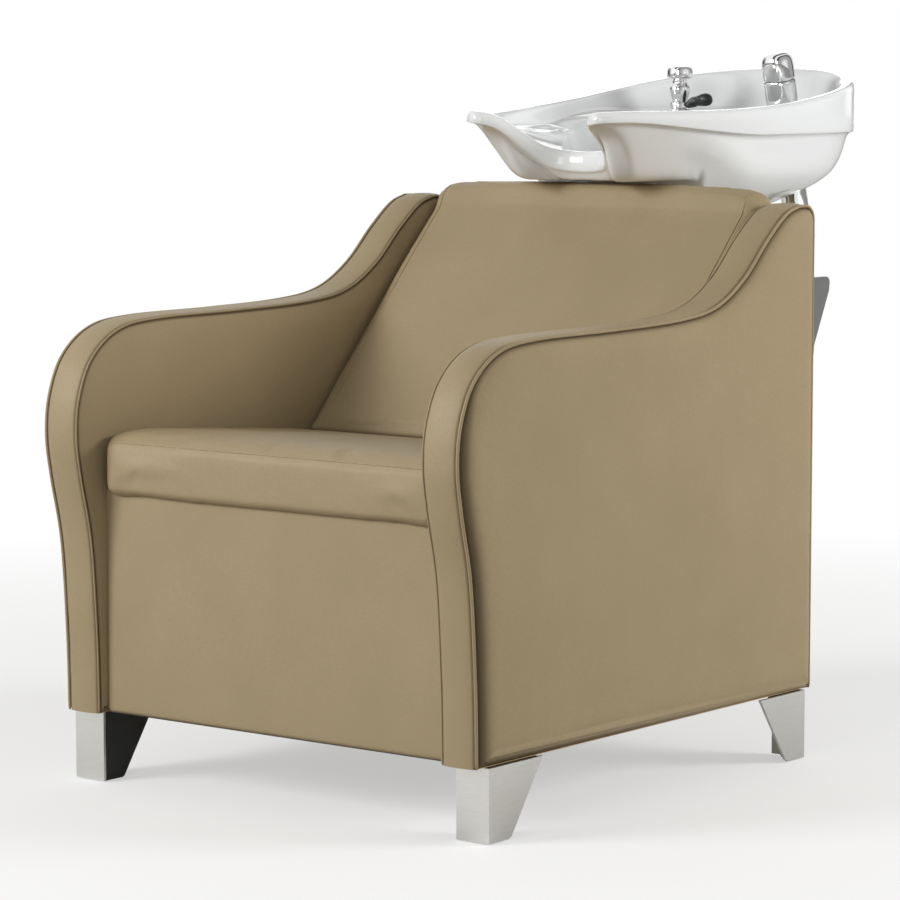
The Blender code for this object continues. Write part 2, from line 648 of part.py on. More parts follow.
def build_basin(materials, parent):
    stations = rim_stations()
    normals = rim_normals(stations)
    rings = [stations] + basin_inner_rings(stations, normals) + basin_outer_rings(stations, normals)
    bm = bmesh.new()
    skin(bm, rings, closed=True)
    basin = add_piece("basin", bm, materials["ceramic"], parent, smooth=True)
    mixer_hole = turned_piece("mixer_hole", [(MIXER_HOLE_R, 0.60), (MIXER_HOLE_R, 0.95)],
                              materials["ceramic"], parent, (*MIXER, 0.0))
    sleeve_hole = turned_piece("sleeve_hole", [(SLEEVE_HOLE_R, -0.25), (SLEEVE_HOLE_R, 0.06)],
                               materials["ceramic"], parent, (*HANDSET, DECK_Z))
    sleeve_hole.rotation_euler = (HANDSET_LEAN, 0.0, 0.0)
    boolean(basin, mixer_hole, "DIFFERENCE")
    boolean(basin, sleeve_hole, "DIFFERENCE")


def build_waste(materials, parent):
    place = (*DRAIN, 0.0)
    gasket = [(0.036, 0.6968), (0.054, 0.6968), (0.054, 0.6997), (0.036, 0.6997)]
    turned_piece("basin_gasket", gasket, materials["rubber"], parent, place, hollow=True)
    flange = [(0.0220, 0.6700), (0.0250, 0.6700), (0.0250, 0.7195), (0.0330, 0.7260),
              (0.0310, 0.7275), (0.0240, 0.7215), (0.0220, 0.7150)]
    turned_piece("waste_flange", flange, materials["chrome"], parent, place, hollow=True)
    nut = [(0.0253, 0.6720), (0.0330, 0.6720), (0.0330, 0.6880), (0.0253, 0.6880)]
    turned_piece("waste_nut", nut, materials["bright_steel"], parent, place, hollow=True)
    tail = [(0.0130, 0.6000), (0.0160, 0.6000), (0.0160, 0.6560), (0.0250, 0.6640),
            (0.0250, 0.6697), (0.0215, 0.6697), (0.0130, 0.6600)]
    turned_piece("waste_tail", tail, materials["white_plastic"], parent, place, hollow=True)


def build_strainer(materials, parent):
    """The lift-out hair strainer: a domed cap on a short stem inside the waste."""
    profile = [(0.0050, -0.0220), (0.0060, -0.0200), (0.0060, -0.0030), (0.0205, -0.0010),
               (0.0205, 0.0040), (0.0140, 0.0075), (0.0050, 0.0095)]
    turned_piece("strainer", profile, materials["bright_steel"], parent)


# ---- taps ---------------------------------------------------------------------------------------
def build_mixer(materials, parent):
    """A deck mixer: threaded shank through the basin, flange and swelling body, nut and tails."""
    shank = [(MIXER_HOLE_R - 0.0015, -0.1500), (MIXER_HOLE_R - 0.0005, -0.1490),
             (MIXER_HOLE_R - 0.0005, GAP), (0.0190, GAP), (0.0190, 0.0025), (0.0115, 0.0035),
             (0.0115, 0.0165), (0.0138, 0.0225), (0.0153, 0.0290), (0.0150, 0.0345),
             (0.0115, 0.0405), (0.0108, 0.0450)]
    turned_piece("mixer_body", shank, materials["chrome"], parent)
    inner = MIXER_HOLE_R - 0.0005 + GAP
    nut = [(inner, -0.1470), (0.0205, -0.1470), (0.0205, -0.1370), (inner, -0.1370)]
    turned_piece("mixer_nut", nut, materials["bright_steel"], parent, hollow=True)
    for name, offset, end in (("hot_supply_tail", -0.0068, -0.205),
                              ("cold_supply_tail", 0.0068, -0.190)):
        tail = [(0.0030, end), (0.0065, end), (0.0065, end + 0.012), (0.0045, end + 0.013),
                (0.0045, -0.1503), (0.0030, -0.1503)]
        turned_piece(name, tail, materials["bright_steel"], parent, (offset, 0.0, 0.0), hollow=True)


def build_mixer_knob(materials, parent):
    profile = [(0.0105, 0.0000), (0.0118, 0.0020), (0.0170, 0.0036), (0.0188, 0.0070),
               (0.0186, 0.0120), (0.0165, 0.0180), (0.0110, 0.0210), (0.0050, 0.0220)]
    turned_piece("mixer_knob", profile, materials["chrome"], parent)


def build_mixer_lever(materials, parent):
    """The temperature lever: a ring round the mixer's body with a swelling black handle."""
    ring = [(0.0120, 0.0000), (0.0152, 0.0000), (0.0150, 0.0085), (0.0120, 0.0090)]
    lever = turned_piece("mixer_lever", ring, materials["black_plastic"], parent, hollow=True)
    bm = bmesh.new()
    spine = [(0.0135, 0.0050, 0.0042, 0.0042), (0.0230, 0.0068, 0.0082, 0.0064),
             (0.0360, 0.0100, 0.0090, 0.0082), (0.0480, 0.0115, 0.0094, 0.0092),
             (0.0570, 0.0110, 0.0066, 0.0064)]
    rings = []
    for x, z, half_width, half_height in spine:
        turns = [2 * math.pi * index / 14 for index in range(14)]
        rings.append([(x, half_width * math.cos(t), z + half_height * math.sin(t)) for t in turns])
    skin(bm, rings, closed=False)
    handle = add_piece("lever_handle", bm, materials["black_plastic"], parent, smooth=True)
    boolean(lever, handle, "UNION")
    lever.rotation_euler.z = handle.rotation_euler.z = math.radians(-4)


def build_sleeve(materials, parent):
    """The chrome sleeve that holds the handset, passed through the basin's deck."""
    inner = SLEEVE_R - 0.0030
    sleeve = [(inner, -SLEEVE_LENGTH), (SLEEVE_R, -SLEEVE_LENGTH), (SLEEVE_R, 0.0050),
              (0.0245, 0.0072), (0.0240, 0.0100), (inner, 0.0100)]
    turned_piece("handset_sleeve", sleeve, materials["chrome"], parent, hollow=True)
    inner_nut = SLEEVE_R + GAP
    nut = [(inner_nut, -0.1900), (0.0230, -0.1900), (0.0230, -0.1820), (inner_nut, -0.1820)]
    turned_piece("sleeve_nut", nut, materials["bright_steel"], parent, hollow=True)


def build_handset(materials, parent):
    """The pull-out spray: a stem in the sleeve, a flattened body and a domed head."""
    body = [(0.0120, -0.1000), (0.0140, -0.0980), (0.0140, 0.0105), (0.0190, 0.0125),
            (0.0218, 0.0180), (0.0220, 0.0470), (0.0205, 0.0485)]
    turned_piece("handset_body", body, materials["chrome"], parent)
    ring = [(0.0203, 0.0488), (0.0206, 0.0510)]
    turned_piece("handset_ring", ring, materials["black_plastic"], parent)
    head = [(0.0205, 0.0513), (0.0222, 0.0530), (0.0222, 0.0680), (0.0205, 0.0785),
            (0.0150, 0.0855), (0.0070, 0.0885)]
    turned_piece("handset_head", head, materials["chrome"], parent)


# ---- assembly -----------------------------------------------------------------------------------
def make_materials():
    return {
        "upholstery": make_material("upholstery", (0.36, 0.28, 0.17), 0.55),
        "plywood": make_material("plywood", (0.55, 0.38, 0.20), 0.70),
        "satin_steel": make_material("satin_steel", (0.60, 0.59, 0.56), 0.35, 1.0),
        "black_plastic": make_material("black_plastic", (0.02, 0.02, 0.02), 0.40),
        "grey_steel": make_material("grey_steel", (0.20, 0.20, 0.20), 0.45, 0.6),
        "bright_steel": make_material("bright_steel", (0.62, 0.62, 0.62), 0.25, 1.0),
        "chrome": make_material("chrome", (0.85, 0.85, 0.86), 0.06, 1.0),
        "ceramic": make_material("ceramic", (0.90, 0.91, 0.92), 0.08),
        "rubber": make_material("rubber", (0.03, 0.03, 0.03), 0.80),
        "white_plastic": make_material("white_plastic", (0.85, 0.85, 0.84), 0.40),
    }


def main():
    for old in list(bpy.data.objects):
        bpy.data.objects.remove(old, do_unlink=True)
    materials = make_materials()
    unit = make_empty("backwash_unit", (0.0, 0.0, 0.0))

    for side_name, side in (("left", 1), ("right", -1)):
        build_arm(side_name, side, materials, unit)
        build_leg(f"front_{side_name}", side, LEG_FRONT_Y, 1, materials, unit)
        build_leg(f"rear_{side_name}", side, LEG_REAR_Y, -1, materials, unit)
        build_bracket(side_name, side, materials, unit)
        build_tilt_arm(side_name, side, materials, unit)
    build_frame(materials, unit)
    build_seat(materials, unit)
    build_back(materials, unit)
    build_cross_rail(materials, unit)
    build_hinge_pins(materials, unit)

    tilt_place = Vector((0.0, *TILT_AXIS))
    build_lock_lever(materials, make_empty("lock_axis", tilt_place, unit))

    tilt = make_empty("tilt_axis", tilt_place, unit)
    basin_group = make_empty("basin_group", -tilt_place, tilt)
    build_tilt_frame(materials, basin_group)
    build_basin(materials, basin_group)
    build_waste(materials, basin_group)
    build_strainer(materials, make_empty("strainer_axis", (*DRAIN, 0.7235), basin_group))

    mixer = make_empty("mixer_axis", (*MIXER, DECK_Z), basin_group)
    build_mixer(materials, mixer)
    build_mixer_lever(materials, make_empty("lever_axis", (0.0, 0.0, 0.0042), mixer))
    build_mixer_knob(materials, make_empty("knob_axis", (0.0, 0.0, 0.0455), mixer))

    sleeve = make_empty("sleeve_axis", (*HANDSET, DECK_Z), basin_group, HANDSET_LEAN)
    build_sleeve(materials, sleeve)
    build_handset(materials, make_empty("handset_axis", (0.0, 0.0, 0.0), sleeve))


main()
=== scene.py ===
import json
import math

import bmesh
import bpy
import numpy as np
from mathutils import Matrix, Vector, noise
from mathutils.bvhtree import BVHTree
from mathutils.geometry import delaunay_2d_cdt


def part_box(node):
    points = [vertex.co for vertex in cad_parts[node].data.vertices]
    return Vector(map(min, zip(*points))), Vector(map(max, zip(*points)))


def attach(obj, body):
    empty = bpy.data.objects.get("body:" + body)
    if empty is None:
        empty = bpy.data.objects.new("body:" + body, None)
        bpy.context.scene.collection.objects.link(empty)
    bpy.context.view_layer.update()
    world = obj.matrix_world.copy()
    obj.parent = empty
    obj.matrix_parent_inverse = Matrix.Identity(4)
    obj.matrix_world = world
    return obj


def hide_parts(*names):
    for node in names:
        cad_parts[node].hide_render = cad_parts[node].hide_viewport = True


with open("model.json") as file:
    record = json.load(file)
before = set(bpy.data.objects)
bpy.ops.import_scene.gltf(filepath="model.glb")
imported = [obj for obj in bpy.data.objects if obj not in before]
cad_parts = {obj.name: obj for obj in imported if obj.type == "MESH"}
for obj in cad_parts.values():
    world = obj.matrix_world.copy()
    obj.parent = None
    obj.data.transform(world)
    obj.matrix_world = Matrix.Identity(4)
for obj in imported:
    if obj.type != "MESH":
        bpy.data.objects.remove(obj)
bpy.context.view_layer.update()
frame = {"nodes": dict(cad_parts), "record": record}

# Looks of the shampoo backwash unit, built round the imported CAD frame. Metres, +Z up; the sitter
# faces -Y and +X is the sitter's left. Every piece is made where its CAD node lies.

CHAIR = "chair"
BASIN_BODY = "basin_assembly"

# ---- places taken from the frame ----------------------------------------------------------------
BAND_LOW, BAND_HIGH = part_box("arm_band_left")
PANEL_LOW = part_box("arm_outer_panel_left")[0]
LINER_LOW, LINER_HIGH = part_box("arm_inner_panel_left")
SEAT_LOW, SEAT_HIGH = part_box("seat_cushion")
BACK_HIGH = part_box("back_cushion")[1]
FRONT_LOW, FRONT_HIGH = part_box("front_panel")
REAR_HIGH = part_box("rear_panel")[1]
BODY_BOTTOM = BAND_LOW.z
BODY_REAR = BAND_HIGH.y

# Side outline of an arm from the foot of its front, up and over to its rear corner, as (y, z).
ARM_FRONT_AND_TOP = [
    (-0.578, BODY_BOTTOM), (-0.581, 0.200), (-0.590, 0.320), (-0.608, 0.405), (-0.616, 0.460),
    (-0.610, 0.512), (-0.585, 0.562), (-0.535, 0.596), (-0.460, 0.607), (-0.300, 0.609),
    (-0.155, 0.613), (-0.070, 0.625), (-0.005, 0.658), (0.050, 0.706), (0.095, 0.739),
    (0.128, 0.750),
]
ARM_CORNER_R = 0.020
RECLINE = math.radians(43.5)       # the back's lean from upright
BACK_FOOT = (-0.172, 0.437)        # where the back's face meets the seat, as (y, z)

# Crest of the basin's rim from the middle of the rear to the middle of the neck rest: (x, y, z).
RIM_HALF = [
    (0.000, 0.6065, 0.932), (0.075, 0.595, 0.929), (0.135, 0.561, 0.922), (0.174, 0.511, 0.912),
    (0.192, 0.450, 0.901), (0.198, 0.370, 0.890), (0.197, 0.290, 0.882), (0.186, 0.205, 0.877),
    (0.163, 0.120, 0.875), (0.134, 0.040, 0.875), (0.113, 0.000, 0.874), (0.097, -0.006, 0.873),
    (0.086, 0.012, 0.869), (0.080, 0.038, 0.858), (0.070, 0.068, 0.8395), (0.053, 0.092, 0.824),
    (0.028, 0.106, 0.8185), (0.000, 0.109, 0.817),
]
DRAIN = (0.0, 0.275)
DRAIN_R = 0.0255
DECK_Z = 0.868
SKIRT_Z = 0.840
BASIN_BOTTOM = 0.700
BACK_CLEARANCE = (0.182, 0.777)    # (y, z): the basin's front passes above this, over the back
MIXER = (-0.090, 0.470)
HANDSET = (0.090, 0.472)
HANDSET_LEAN = math.radians(14)    # towards the chair

EDGE_INSET = 0.0030                # an arm panel's outline lies this far inside the band's


# ---- small helpers ------------------------------------------------------------------------------
def lerp(a, b, t):
    return a + (b - a) * t


def fade(value, start, end):
    """A soft step from 0 at start to 1 at end."""
    t = min(max((value - start) / (end - start), 0.0), 1.0)
    return t * t * (3 - 2 * t)


def smooth_path(points, steps):
    """Points on a Catmull-Rom curve through the given points."""
    vectors = [Vector(point) for point in points]
    vectors = [2 * vectors[0] - vectors[1], *vectors, 2 * vectors[-1] - vectors[-2]]
    path = []
    for before, a, b, after in zip(vectors, vectors[1:], vectors[2:], vectors[3:]):
        for step in range(steps):
            t = step / steps
            path.append(0.5 * (2 * a + (b - before) * t + (2 * before - 5 * a + 4 * b - after) * t ** 2
                               + (3 * a - before - 3 * b + after) * t ** 3))
    return path + [vectors[-2]]


def arc(centre, radius, start_degrees, end_degrees, steps):
    """2-D points on a circular arc, ends kept."""
    turns = [math.radians(lerp(start_degrees, end_degrees, step / steps)) for step in range(steps + 1)]
    return [Vector((centre[0] + radius * math.cos(t), centre[1] + radius * math.sin(t))) for t in turns]


def resample(path, spacing):
    """Points at equal distances along a path, ends kept."""
    lengths = [0.0]
    for one, two in zip(path, path[1:]):
        lengths.append(lengths[-1] + (two - one).length)
    count = max(2, round(lengths[-1] / spacing))
    picked, after = [], 1
    for index in range(count + 1):
        target = lengths[-1] * index / count
        while after < len(path) - 1 and lengths[after] < target:
            after += 1
        span = max(lengths[after] - lengths[after - 1], 1e-9)
        picked.append(path[after - 1].lerp(path[after], min((target - lengths[after - 1]) / span, 1.0)))
    return picked


def new_piece(name, points, faces, material, seam_shade=None):
    """A smooth mesh object from points and faces, normals out; the optional values, 0..1 for each point, give
    the painted shade along its seams.
    """
    mesh = bpy.data.meshes.new(name)
    mesh.from_pydata([tuple(p) for p in points], [], faces)
    # painted shade: the per-point values darken the leather along the seams
    if seam_shade is not None:
        mesh.attributes.new("seam_shade", "FLOAT", "POINT").data.foreach_set("value", seam_shade)
    bm = bmesh.new()
    bm.from_mesh(mesh)
    bmesh.ops.recalc_face_normals(bm, faces=bm.faces)
    if bm.calc_volume(signed=True) < 0:
        bmesh.ops.reverse_faces(bm, faces=bm.faces)
    bm.to_mesh(mesh)
    bm.free()
    mesh.shade_smooth()
    mesh.materials.append(material)
    piece = bpy.data.objects.new(name, mesh)
    bpy.context.scene.collection.objects.link(piece)
    return piece


def settle(piece, body, slot, *nodes):
    """Give a finished piece its body and hide the CAD nodes that it stands for; slot is not used."""
    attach(piece, body)
    if nodes:
        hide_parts(*nodes)


def subdivide(piece, levels):
    modifier = piece.modifiers.new("fine", "SUBSURF")
    modifier.levels = modifier.render_levels = levels


def sharpen(piece, degrees):
    """Keep edges that fold more than this angle crisp."""
    piece.data.set_sharp_from_angle(angle=math.radians(degrees))


def circle_turns(sides):
    return [2 * math.pi * k / sides for k in range(sides)]


def band_faces(one, two, count):
    """Four-sided faces between ring number one and ring number two, of count points each."""
    faces = []
    for index in range(count):
        after = (index + 1) % count
        faces.append((one * count + index, one * count + after, two * count + after, two * count + index))
    return faces


def rings_mesh(rings, closed_along=False):
    """Points and faces of a skin over equal closed rings, in order; open skins get end caps."""
    count = len(rings[0])
    points = [point for ring in rings for point in ring]
    pairs = [(i, i + 1) for i in range(len(rings) - 1)]
    if closed_along:
        pairs.append((len(rings) - 1, 0))
    faces = []
    for one, two in pairs:
        faces += band_faces(one, two, count)
    if not closed_along:
        faces.append(tuple(range(count)))
        faces.append(tuple(range((len(rings) - 1) * count, len(rings) * count)))
    return points, faces


def tube(name, path, radius, material, sides=10):
    """A round cord along a path, its ends capped and drawn in."""
    end_share = 0.4
    rings = []
    side = None
    for index, point in enumerate(path):
        along = (path[min(index + 1, len(path) - 1)] - path[max(index - 1, 0)]).normalized()
        if side is None:
            side = along.orthogonal().normalized()
        side = (side - along * side.dot(along)).normalized()
        other = along.cross(side)
        reach = radius * (end_share if index in (0, len(path) - 1) else 1.0)
        rings.append([point + (side * math.cos(t) + other * math.sin(t)) * reach
                      for t in circle_turns(sides)])
    return new_piece(name, *rings_mesh(rings), material)


def turned(name, profile, material, place, lean=0.0, steps=1, hollow=False):
    """A piece turned about its own Z from (radius, z) pairs, leaning about X at its place."""
    pairs = smooth_path(profile, steps) if steps > 1 else profile
    turn = Matrix.Translation(place) @ Matrix.Rotation(lean, 4, "X")
    turns = circle_turns(64)
    rings = [[turn @ Vector((r * math.cos(t), r * math.sin(t), z)) for t in turns] for r, z in pairs]
    return new_piece(name, *rings_mesh(rings, closed_along=hollow), material)


# ---- materials ----------------------------------------------------------------------------------
class Shader:
    """A Principled material and short calls to add nodes to it."""

    def __init__(self, name, **sockets):
        self.material = bpy.data.materials.new(name)
        self.material.use_nodes = True
        self.tree = self.material.node_tree
        self.shader = self.tree.nodes["Principled BSDF"]
        for socket, value in sockets.items():
            self.shader.inputs[socket.replace("_", " ")].default_value = value
        self.place = self.add("ShaderNodeTexCoord").outputs["Object"]

    def add(self, kind, **values):
        node = self.tree.nodes.new(kind)
        for key, value in values.items():
            setattr(node, key, value)
        return node

    def link(self, output, target):
        self.tree.links.new(output, target)

    def stretched(self, x, y, z):
        mapping = self.add("ShaderNodeMapping")
        mapping.inputs["Scale"].default_value = (x, y, z)
        self.link(self.place, mapping.inputs["Vector"])
        return mapping.outputs["Vector"]

    def noise(self, scale, detail=2.0, roughness=0.5, vector=None):
        node = self.add("ShaderNodeTexNoise")
        node.inputs["Scale"].default_value = scale
        node.inputs["Detail"].default_value = detail
        node.inputs["Roughness"].default_value = roughness
        self.link(vector or self.place, node.inputs["Vector"])
        return node.outputs["Fac"]

    def cells(self, scale, vector=None):
        node = self.add("ShaderNodeTexVoronoi", feature="DISTANCE_TO_EDGE")
        node.inputs["Scale"].default_value = scale
        self.link(vector or self.place, node.inputs["Vector"])
        return node.outputs["Distance"]

    def between(self, factor, low, high, start=0.0, end=1.0):
        """A number that goes from low to high as factor goes from start to end."""
        node = self.add("ShaderNodeMapRange")
        for socket, value in (("From Min", start), ("From Max", end), ("To Min", low), ("To Max", high)):
            node.inputs[socket].default_value = value
        self.link(factor, node.inputs["Value"])
        return node.outputs["Result"]

    def mix(self, factor, one, two):
        """A colour between one and two, each a colour or another node's output."""
        node = self.add("ShaderNodeMix", data_type="RGBA")
        self.link(factor, node.inputs["Factor"])
        for socket, colour in zip((node.inputs[6], node.inputs[7]), (one, two)):
            if isinstance(colour, tuple):
                socket.default_value = (*colour, 1.0)
            else:
                self.link(colour, socket)
        return node.outputs[2]

    def bump(self, height, strength, distance, under=None):
        node = self.add("ShaderNodeBump")
        node.inputs["Strength"].default_value = strength
        node.inputs["Distance"].default_value = distance
        self.link(height, node.inputs["Height"])
        if under:
            self.link(under, node.inputs["Normal"])
        return node.outputs["Normal"]

    def attribute(self, name):
        return self.add("ShaderNodeAttribute", attribute_name=name).outputs["Fac"]

    def finish(self, **outputs):
        for socket, output in outputs.items():
            self.link(output, self.shader.inputs[socket.replace("_", " ")])
        return self.material


def make_leather():
    """Khaki leatherette: pebbled grain, soft mottling, and painted shade that darkens it in and beside the
    seams.
    """
    s = Shader("khaki_leatherette", Roughness=0.5, Specular_IOR_Level=0.28)
    khaki, pale_khaki = (0.372, 0.291, 0.172), (0.405, 0.318, 0.191)
    dark_khaki, seam_shadow_brown = (0.300, 0.236, 0.144), (0.060, 0.041, 0.018)
    mottle = s.mix(s.between(s.noise(7.0, 3.0), 0.0, 1.0, 0.3, 0.7), khaki, pale_khaki)
    speckle = s.mix(s.between(s.noise(420.0, 2.0), 0.0, 0.35, 0.35, 0.75), mottle, dark_khaki)
    # painted shade: where the point attribute is high, in and beside the seams, the colour goes to a
    # near-black brown that stands in for the grooves' shadow
    seam_shade = s.between(s.attribute("seam_shade"), 0.0, 0.90, 0.10, 1.0)
    colour = s.mix(seam_shade, speckle, seam_shadow_brown)
    rough = s.between(s.noise(260.0, 3.0), 0.42, 0.58, 0.3, 0.7)
    creases = s.bump(s.noise(38.0, 4.0, 0.6), 0.10, 0.0012)
    grain = s.bump(s.between(s.cells(900.0), 0.0, 1.0, 0.0, 0.30), 0.35, 0.00018, creases)
    return s.finish(Base_Color=colour, Roughness=rough, Normal=grain)


def make_ceramic():
    """Glazed vitreous china: a faint tone in the body and the slow waviness of a glaze."""
    s = Shader("glazed_china", Roughness=0.07, Coat_Weight=0.35, Coat_Roughness=0.03, Specular_IOR_Level=0.5)
    colour = s.mix(s.noise(4.0, 2.0), (0.862, 0.884, 0.898), (0.892, 0.907, 0.913))
    rough = s.between(s.noise(45.0, 2.0), 0.05, 0.12, 0.3, 0.7)
    return s.finish(Base_Color=colour, Roughness=rough, Normal=s.bump(s.noise(22.0, 1.0), 0.06, 0.0012))


def make_metal(name, colour, low, high, grain=None, dark=0.85):
    """Metal whose roughness drifts between low and high; grain gives brushed lines (x, y, z scales)."""
    s = Shader(name, Metallic=1.0)
    tone = s.noise(9.0, 3.0)
    fine = s.noise(1.0, 2.0, vector=s.stretched(*grain)) if grain else s.noise(160.0, 2.0)
    shade = s.mix(s.between(fine, 0.0, 1.0, 0.3, 0.7), tuple(c * dark for c in colour), colour)
    rough = s.between(tone, low, high, 0.3, 0.7)
    if not grain:
        return s.finish(Base_Color=shade, Roughness=rough)
    return s.finish(Base_Color=shade, Roughness=rough, Normal=s.bump(fine, 0.12, 0.00008))


def make_plastic(name, colour, rough, relief=0.15):
    """Moulded plastic or rubber with a fine spark-eroded texture."""
    s = Shader(name, Specular_IOR_Level=0.45)
    lighter = tuple(min(c * 1.25 + 0.004, 1.0) for c in colour)
    tone = s.mix(s.noise(30.0, 3.0), colour, lighter)
    texture = s.noise(700.0, 2.0)
    return s.finish(Base_Color=tone, Roughness=s.between(texture, rough - 0.05, rough + 0.08, 0.3, 0.7),
                    Normal=s.bump(texture, relief, 0.00008))


def make_paint():
    """Grey powder coat: orange-peel relief."""
    s = Shader("grey_powder_coat", Metallic=0.25)
    peel = s.noise(520.0, 2.0)
    tone = s.mix(s.noise(25.0, 3.0), (0.175, 0.182, 0.178), (0.215, 0.222, 0.216))
    return s.finish(Base_Color=tone, Roughness=s.between(peel, 0.38, 0.50, 0.3, 0.7),
                    Normal=s.bump(peel, 0.25, 0.00012))


def make_plywood():
    """Birch plywood: long grain along Y with darker pores."""
    s = Shader("birch_plywood", Specular_IOR_Level=0.3)
    grain = s.noise(1.0, 4.0, 0.6, s.stretched(160.0, 6.0, 160.0))
    tone = s.mix(s.between(grain, 0.0, 1.0, 0.3, 0.7), (0.46, 0.31, 0.16), (0.62, 0.45, 0.26))
    return s.finish(Base_Color=tone, Roughness=s.between(grain, 0.55, 0.75, 0.3, 0.7),
                    Normal=s.bump(grain, 0.2, 0.0003))


LEATHER = make_leather()
CERAMIC = make_ceramic()
CHROME = make_metal("polished_chrome", (0.90, 0.90, 0.91), 0.035, 0.085, dark=0.97)
SATIN = make_metal("satin_cladding", (0.74, 0.735, 0.71), 0.26, 0.36, grain=(30.0, 30.0, 2200.0), dark=0.90)
BRIGHT = make_metal("machined_steel", (0.66, 0.66, 0.66), 0.16, 0.28, grain=(40.0, 40.0, 2600.0))
BLACK = make_plastic("black_plastic", (0.012, 0.012, 0.013), 0.34)
FOOT = make_plastic("foot_block", (0.030, 0.033, 0.032), 0.55)
RUBBER = make_plastic("black_rubber", (0.022, 0.022, 0.022), 0.72, relief=0.3)
WHITE = make_plastic("white_plastic", (0.72, 0.72, 0.71), 0.35)
PAINT = make_paint()
PLYWOOD = make_plywood()


# ---- upholstered panels -------------------------------------------------------------------------
PANEL_PITCH = 0.010


def arm_path(inset=0.0, spacing=0.006):
    """An arm's outline from its front foot over the top and down its rear, moved inwards by inset."""
    path = smooth_path(ARM_FRONT_AND_TOP, 12)
    corner = (BODY_REAR - ARM_CORNER_R, ARM_FRONT_AND_TOP[-1][1] - ARM_CORNER_R)
    path += arc(corner, ARM_CORNER_R, 90, 0, 12)
    path.append(Vector((BODY_REAR, BODY_BOTTOM)))
    path = resample(path, spacing)
    moved = []
    for index, point in enumerate(path):
        along = path[min(index + 1, len(path) - 1)] - path[max(index - 1, 0)]
        moved.append(point + Vector((along.y, -along.x)).normalized() * inset)
    return moved


def inward(outline, distance):
    """A closed outline with its inside on the right, moved inwards."""
    least_cosine = 0.5             # keeps a sharp corner's point from running away
    moved = []
    for index, point in enumerate(outline):
        one = (point - outline[index - 1]).normalized()
        two = (outline[(index + 1) % len(outline)] - point).normalized()
        bisector = Vector((one.y + two.y, -one.x - two.x))
        if bisector.length < 1e-6:
            bisector = Vector((one.y, -one.x))
        bisector.normalize()
        cosine = max(bisector.dot(Vector((one.y, -one.x))), least_cosine)
        moved.append(point + bisector * distance / cosine)
    return moved


def edge_distance(points, outline):
    """Distance from each 2-D point to a closed outline."""
    p = np.array(points, float)[:, None, :]
    a = np.array([tuple(v) for v in outline], float)
    b = np.roll(a, -1, axis=0)
    ab = b - a
    t = np.clip(((p - a) * ab).sum(2) / np.maximum((ab * ab).sum(1), 1e-12), 0, 1)
    return np.sqrt((((a + t[..., None] * ab) - p) ** 2).sum(2)).min(1)


def triangle_grid(outline, pitch):
    """2-D points in staggered rows inside an outline's box, none of them close to the outline."""
    low = [min(p[axis] for p in outline) for axis in (0, 1)]
    high = [max(p[axis] for p in outline) for axis in (0, 1)]
    row_pitch = pitch * 0.866
    grid = []
    for row in range(int((high[1] - low[1]) / row_pitch) + 1):
        for column in range(int((high[0] - low[0]) / pitch) + 1):
            grid.append((low[0] + (column + 0.5 * (row % 2)) * pitch, low[1] + row * row_pitch))
    away = edge_distance(grid, outline)
    return [Vector(p) for p, d in zip(grid, away) if d > pitch * 0.55]


def fill_outline(rings):
    """Flat points and faces over an outline: bands between its rings, triangles inside the last."""
    count, inner = len(rings[0]), rings[-1]
    edges = [(index, (index + 1) % count) for index in range(count)]
    inside = inner + triangle_grid(inner, PANEL_PITCH)
    flat, _, triangles, sources, _, _ = delaunay_2d_cdt(inside, edges, [], 1, 1e-7)
    points = [p for ring in rings for p in ring]
    numbers = []
    for point, source in zip(flat, sources):
        first = min(source, default=count)
        if first < count:
            numbers.append((len(rings) - 1) * count + first)
        else:
            numbers.append(len(points))
            points.append(point)
    faces = []
    for ring in range(len(rings) - 1):
        faces += band_faces(ring, ring + 1, count)
    faces += [tuple(numbers[i] for i in triangle) for triangle in triangles]
    faces.append(tuple(range(count)))
    used = sorted({i for face in faces for i in face})
    renumber = {old: new for new, old in enumerate(used)}
    return [points[i] for i in used], [tuple(renumber[i] for i in face) for face in faces]


def panel(name, outline, place, height, radius, crown, wave=0.0006, seed=0.0, groove=0.006, shade=None):
    """A stuffed panel over a 2-D outline, closed at the back. Its edge rounds over radius up to
    height and its middle rises by crown more. place(a, b, height) gives the point in the room.
    The painted shade along the seams is groove wide, times shade(a, b)."""
    edge_steps, widest_edge, crown_reach, wave_scale = 6, 0.016, 0.09, 9.0
    outline = [Vector(p) for p in outline]
    area = sum(p.x * q.y - q.x * p.y for p, q in zip(outline, outline[1:] + outline[:1]))
    if area > 0:
        outline.reverse()
    offsets = [radius * (1 - math.cos(math.pi / 2 * step / edge_steps)) for step in range(edge_steps + 1)]
    flat, faces = fill_outline([inward(outline, offset) for offset in offsets if offset <= widest_edge])
    away = edge_distance([(p[0], p[1]) for p in flat], outline)
    away[:len(outline)] = 0.0
    points, seam_shade = [], []
    for p, d in zip(flat, away):
        share = min(d / radius, 1.0)
        rise = height * math.sqrt(max(1 - (1 - share) ** 2, 0.0)) + crown * (1 - math.exp(-d / crown_reach))
        if d > 0:
            rise += wave * share * noise.noise(Vector((p[0] * wave_scale + seed, p[1] * wave_scale, seed)))
        points.append(place(p[0], p[1], rise))
        # painted shade: the leather darkens towards the outline, standing in for the shadow in the seams
        seam_shade.append(1.0 - fade(d, 0.0, groove * (shade(p[0], p[1]) if shade else 1.0)))
    return new_piece(name, points, faces, LEATHER, seam_shade)


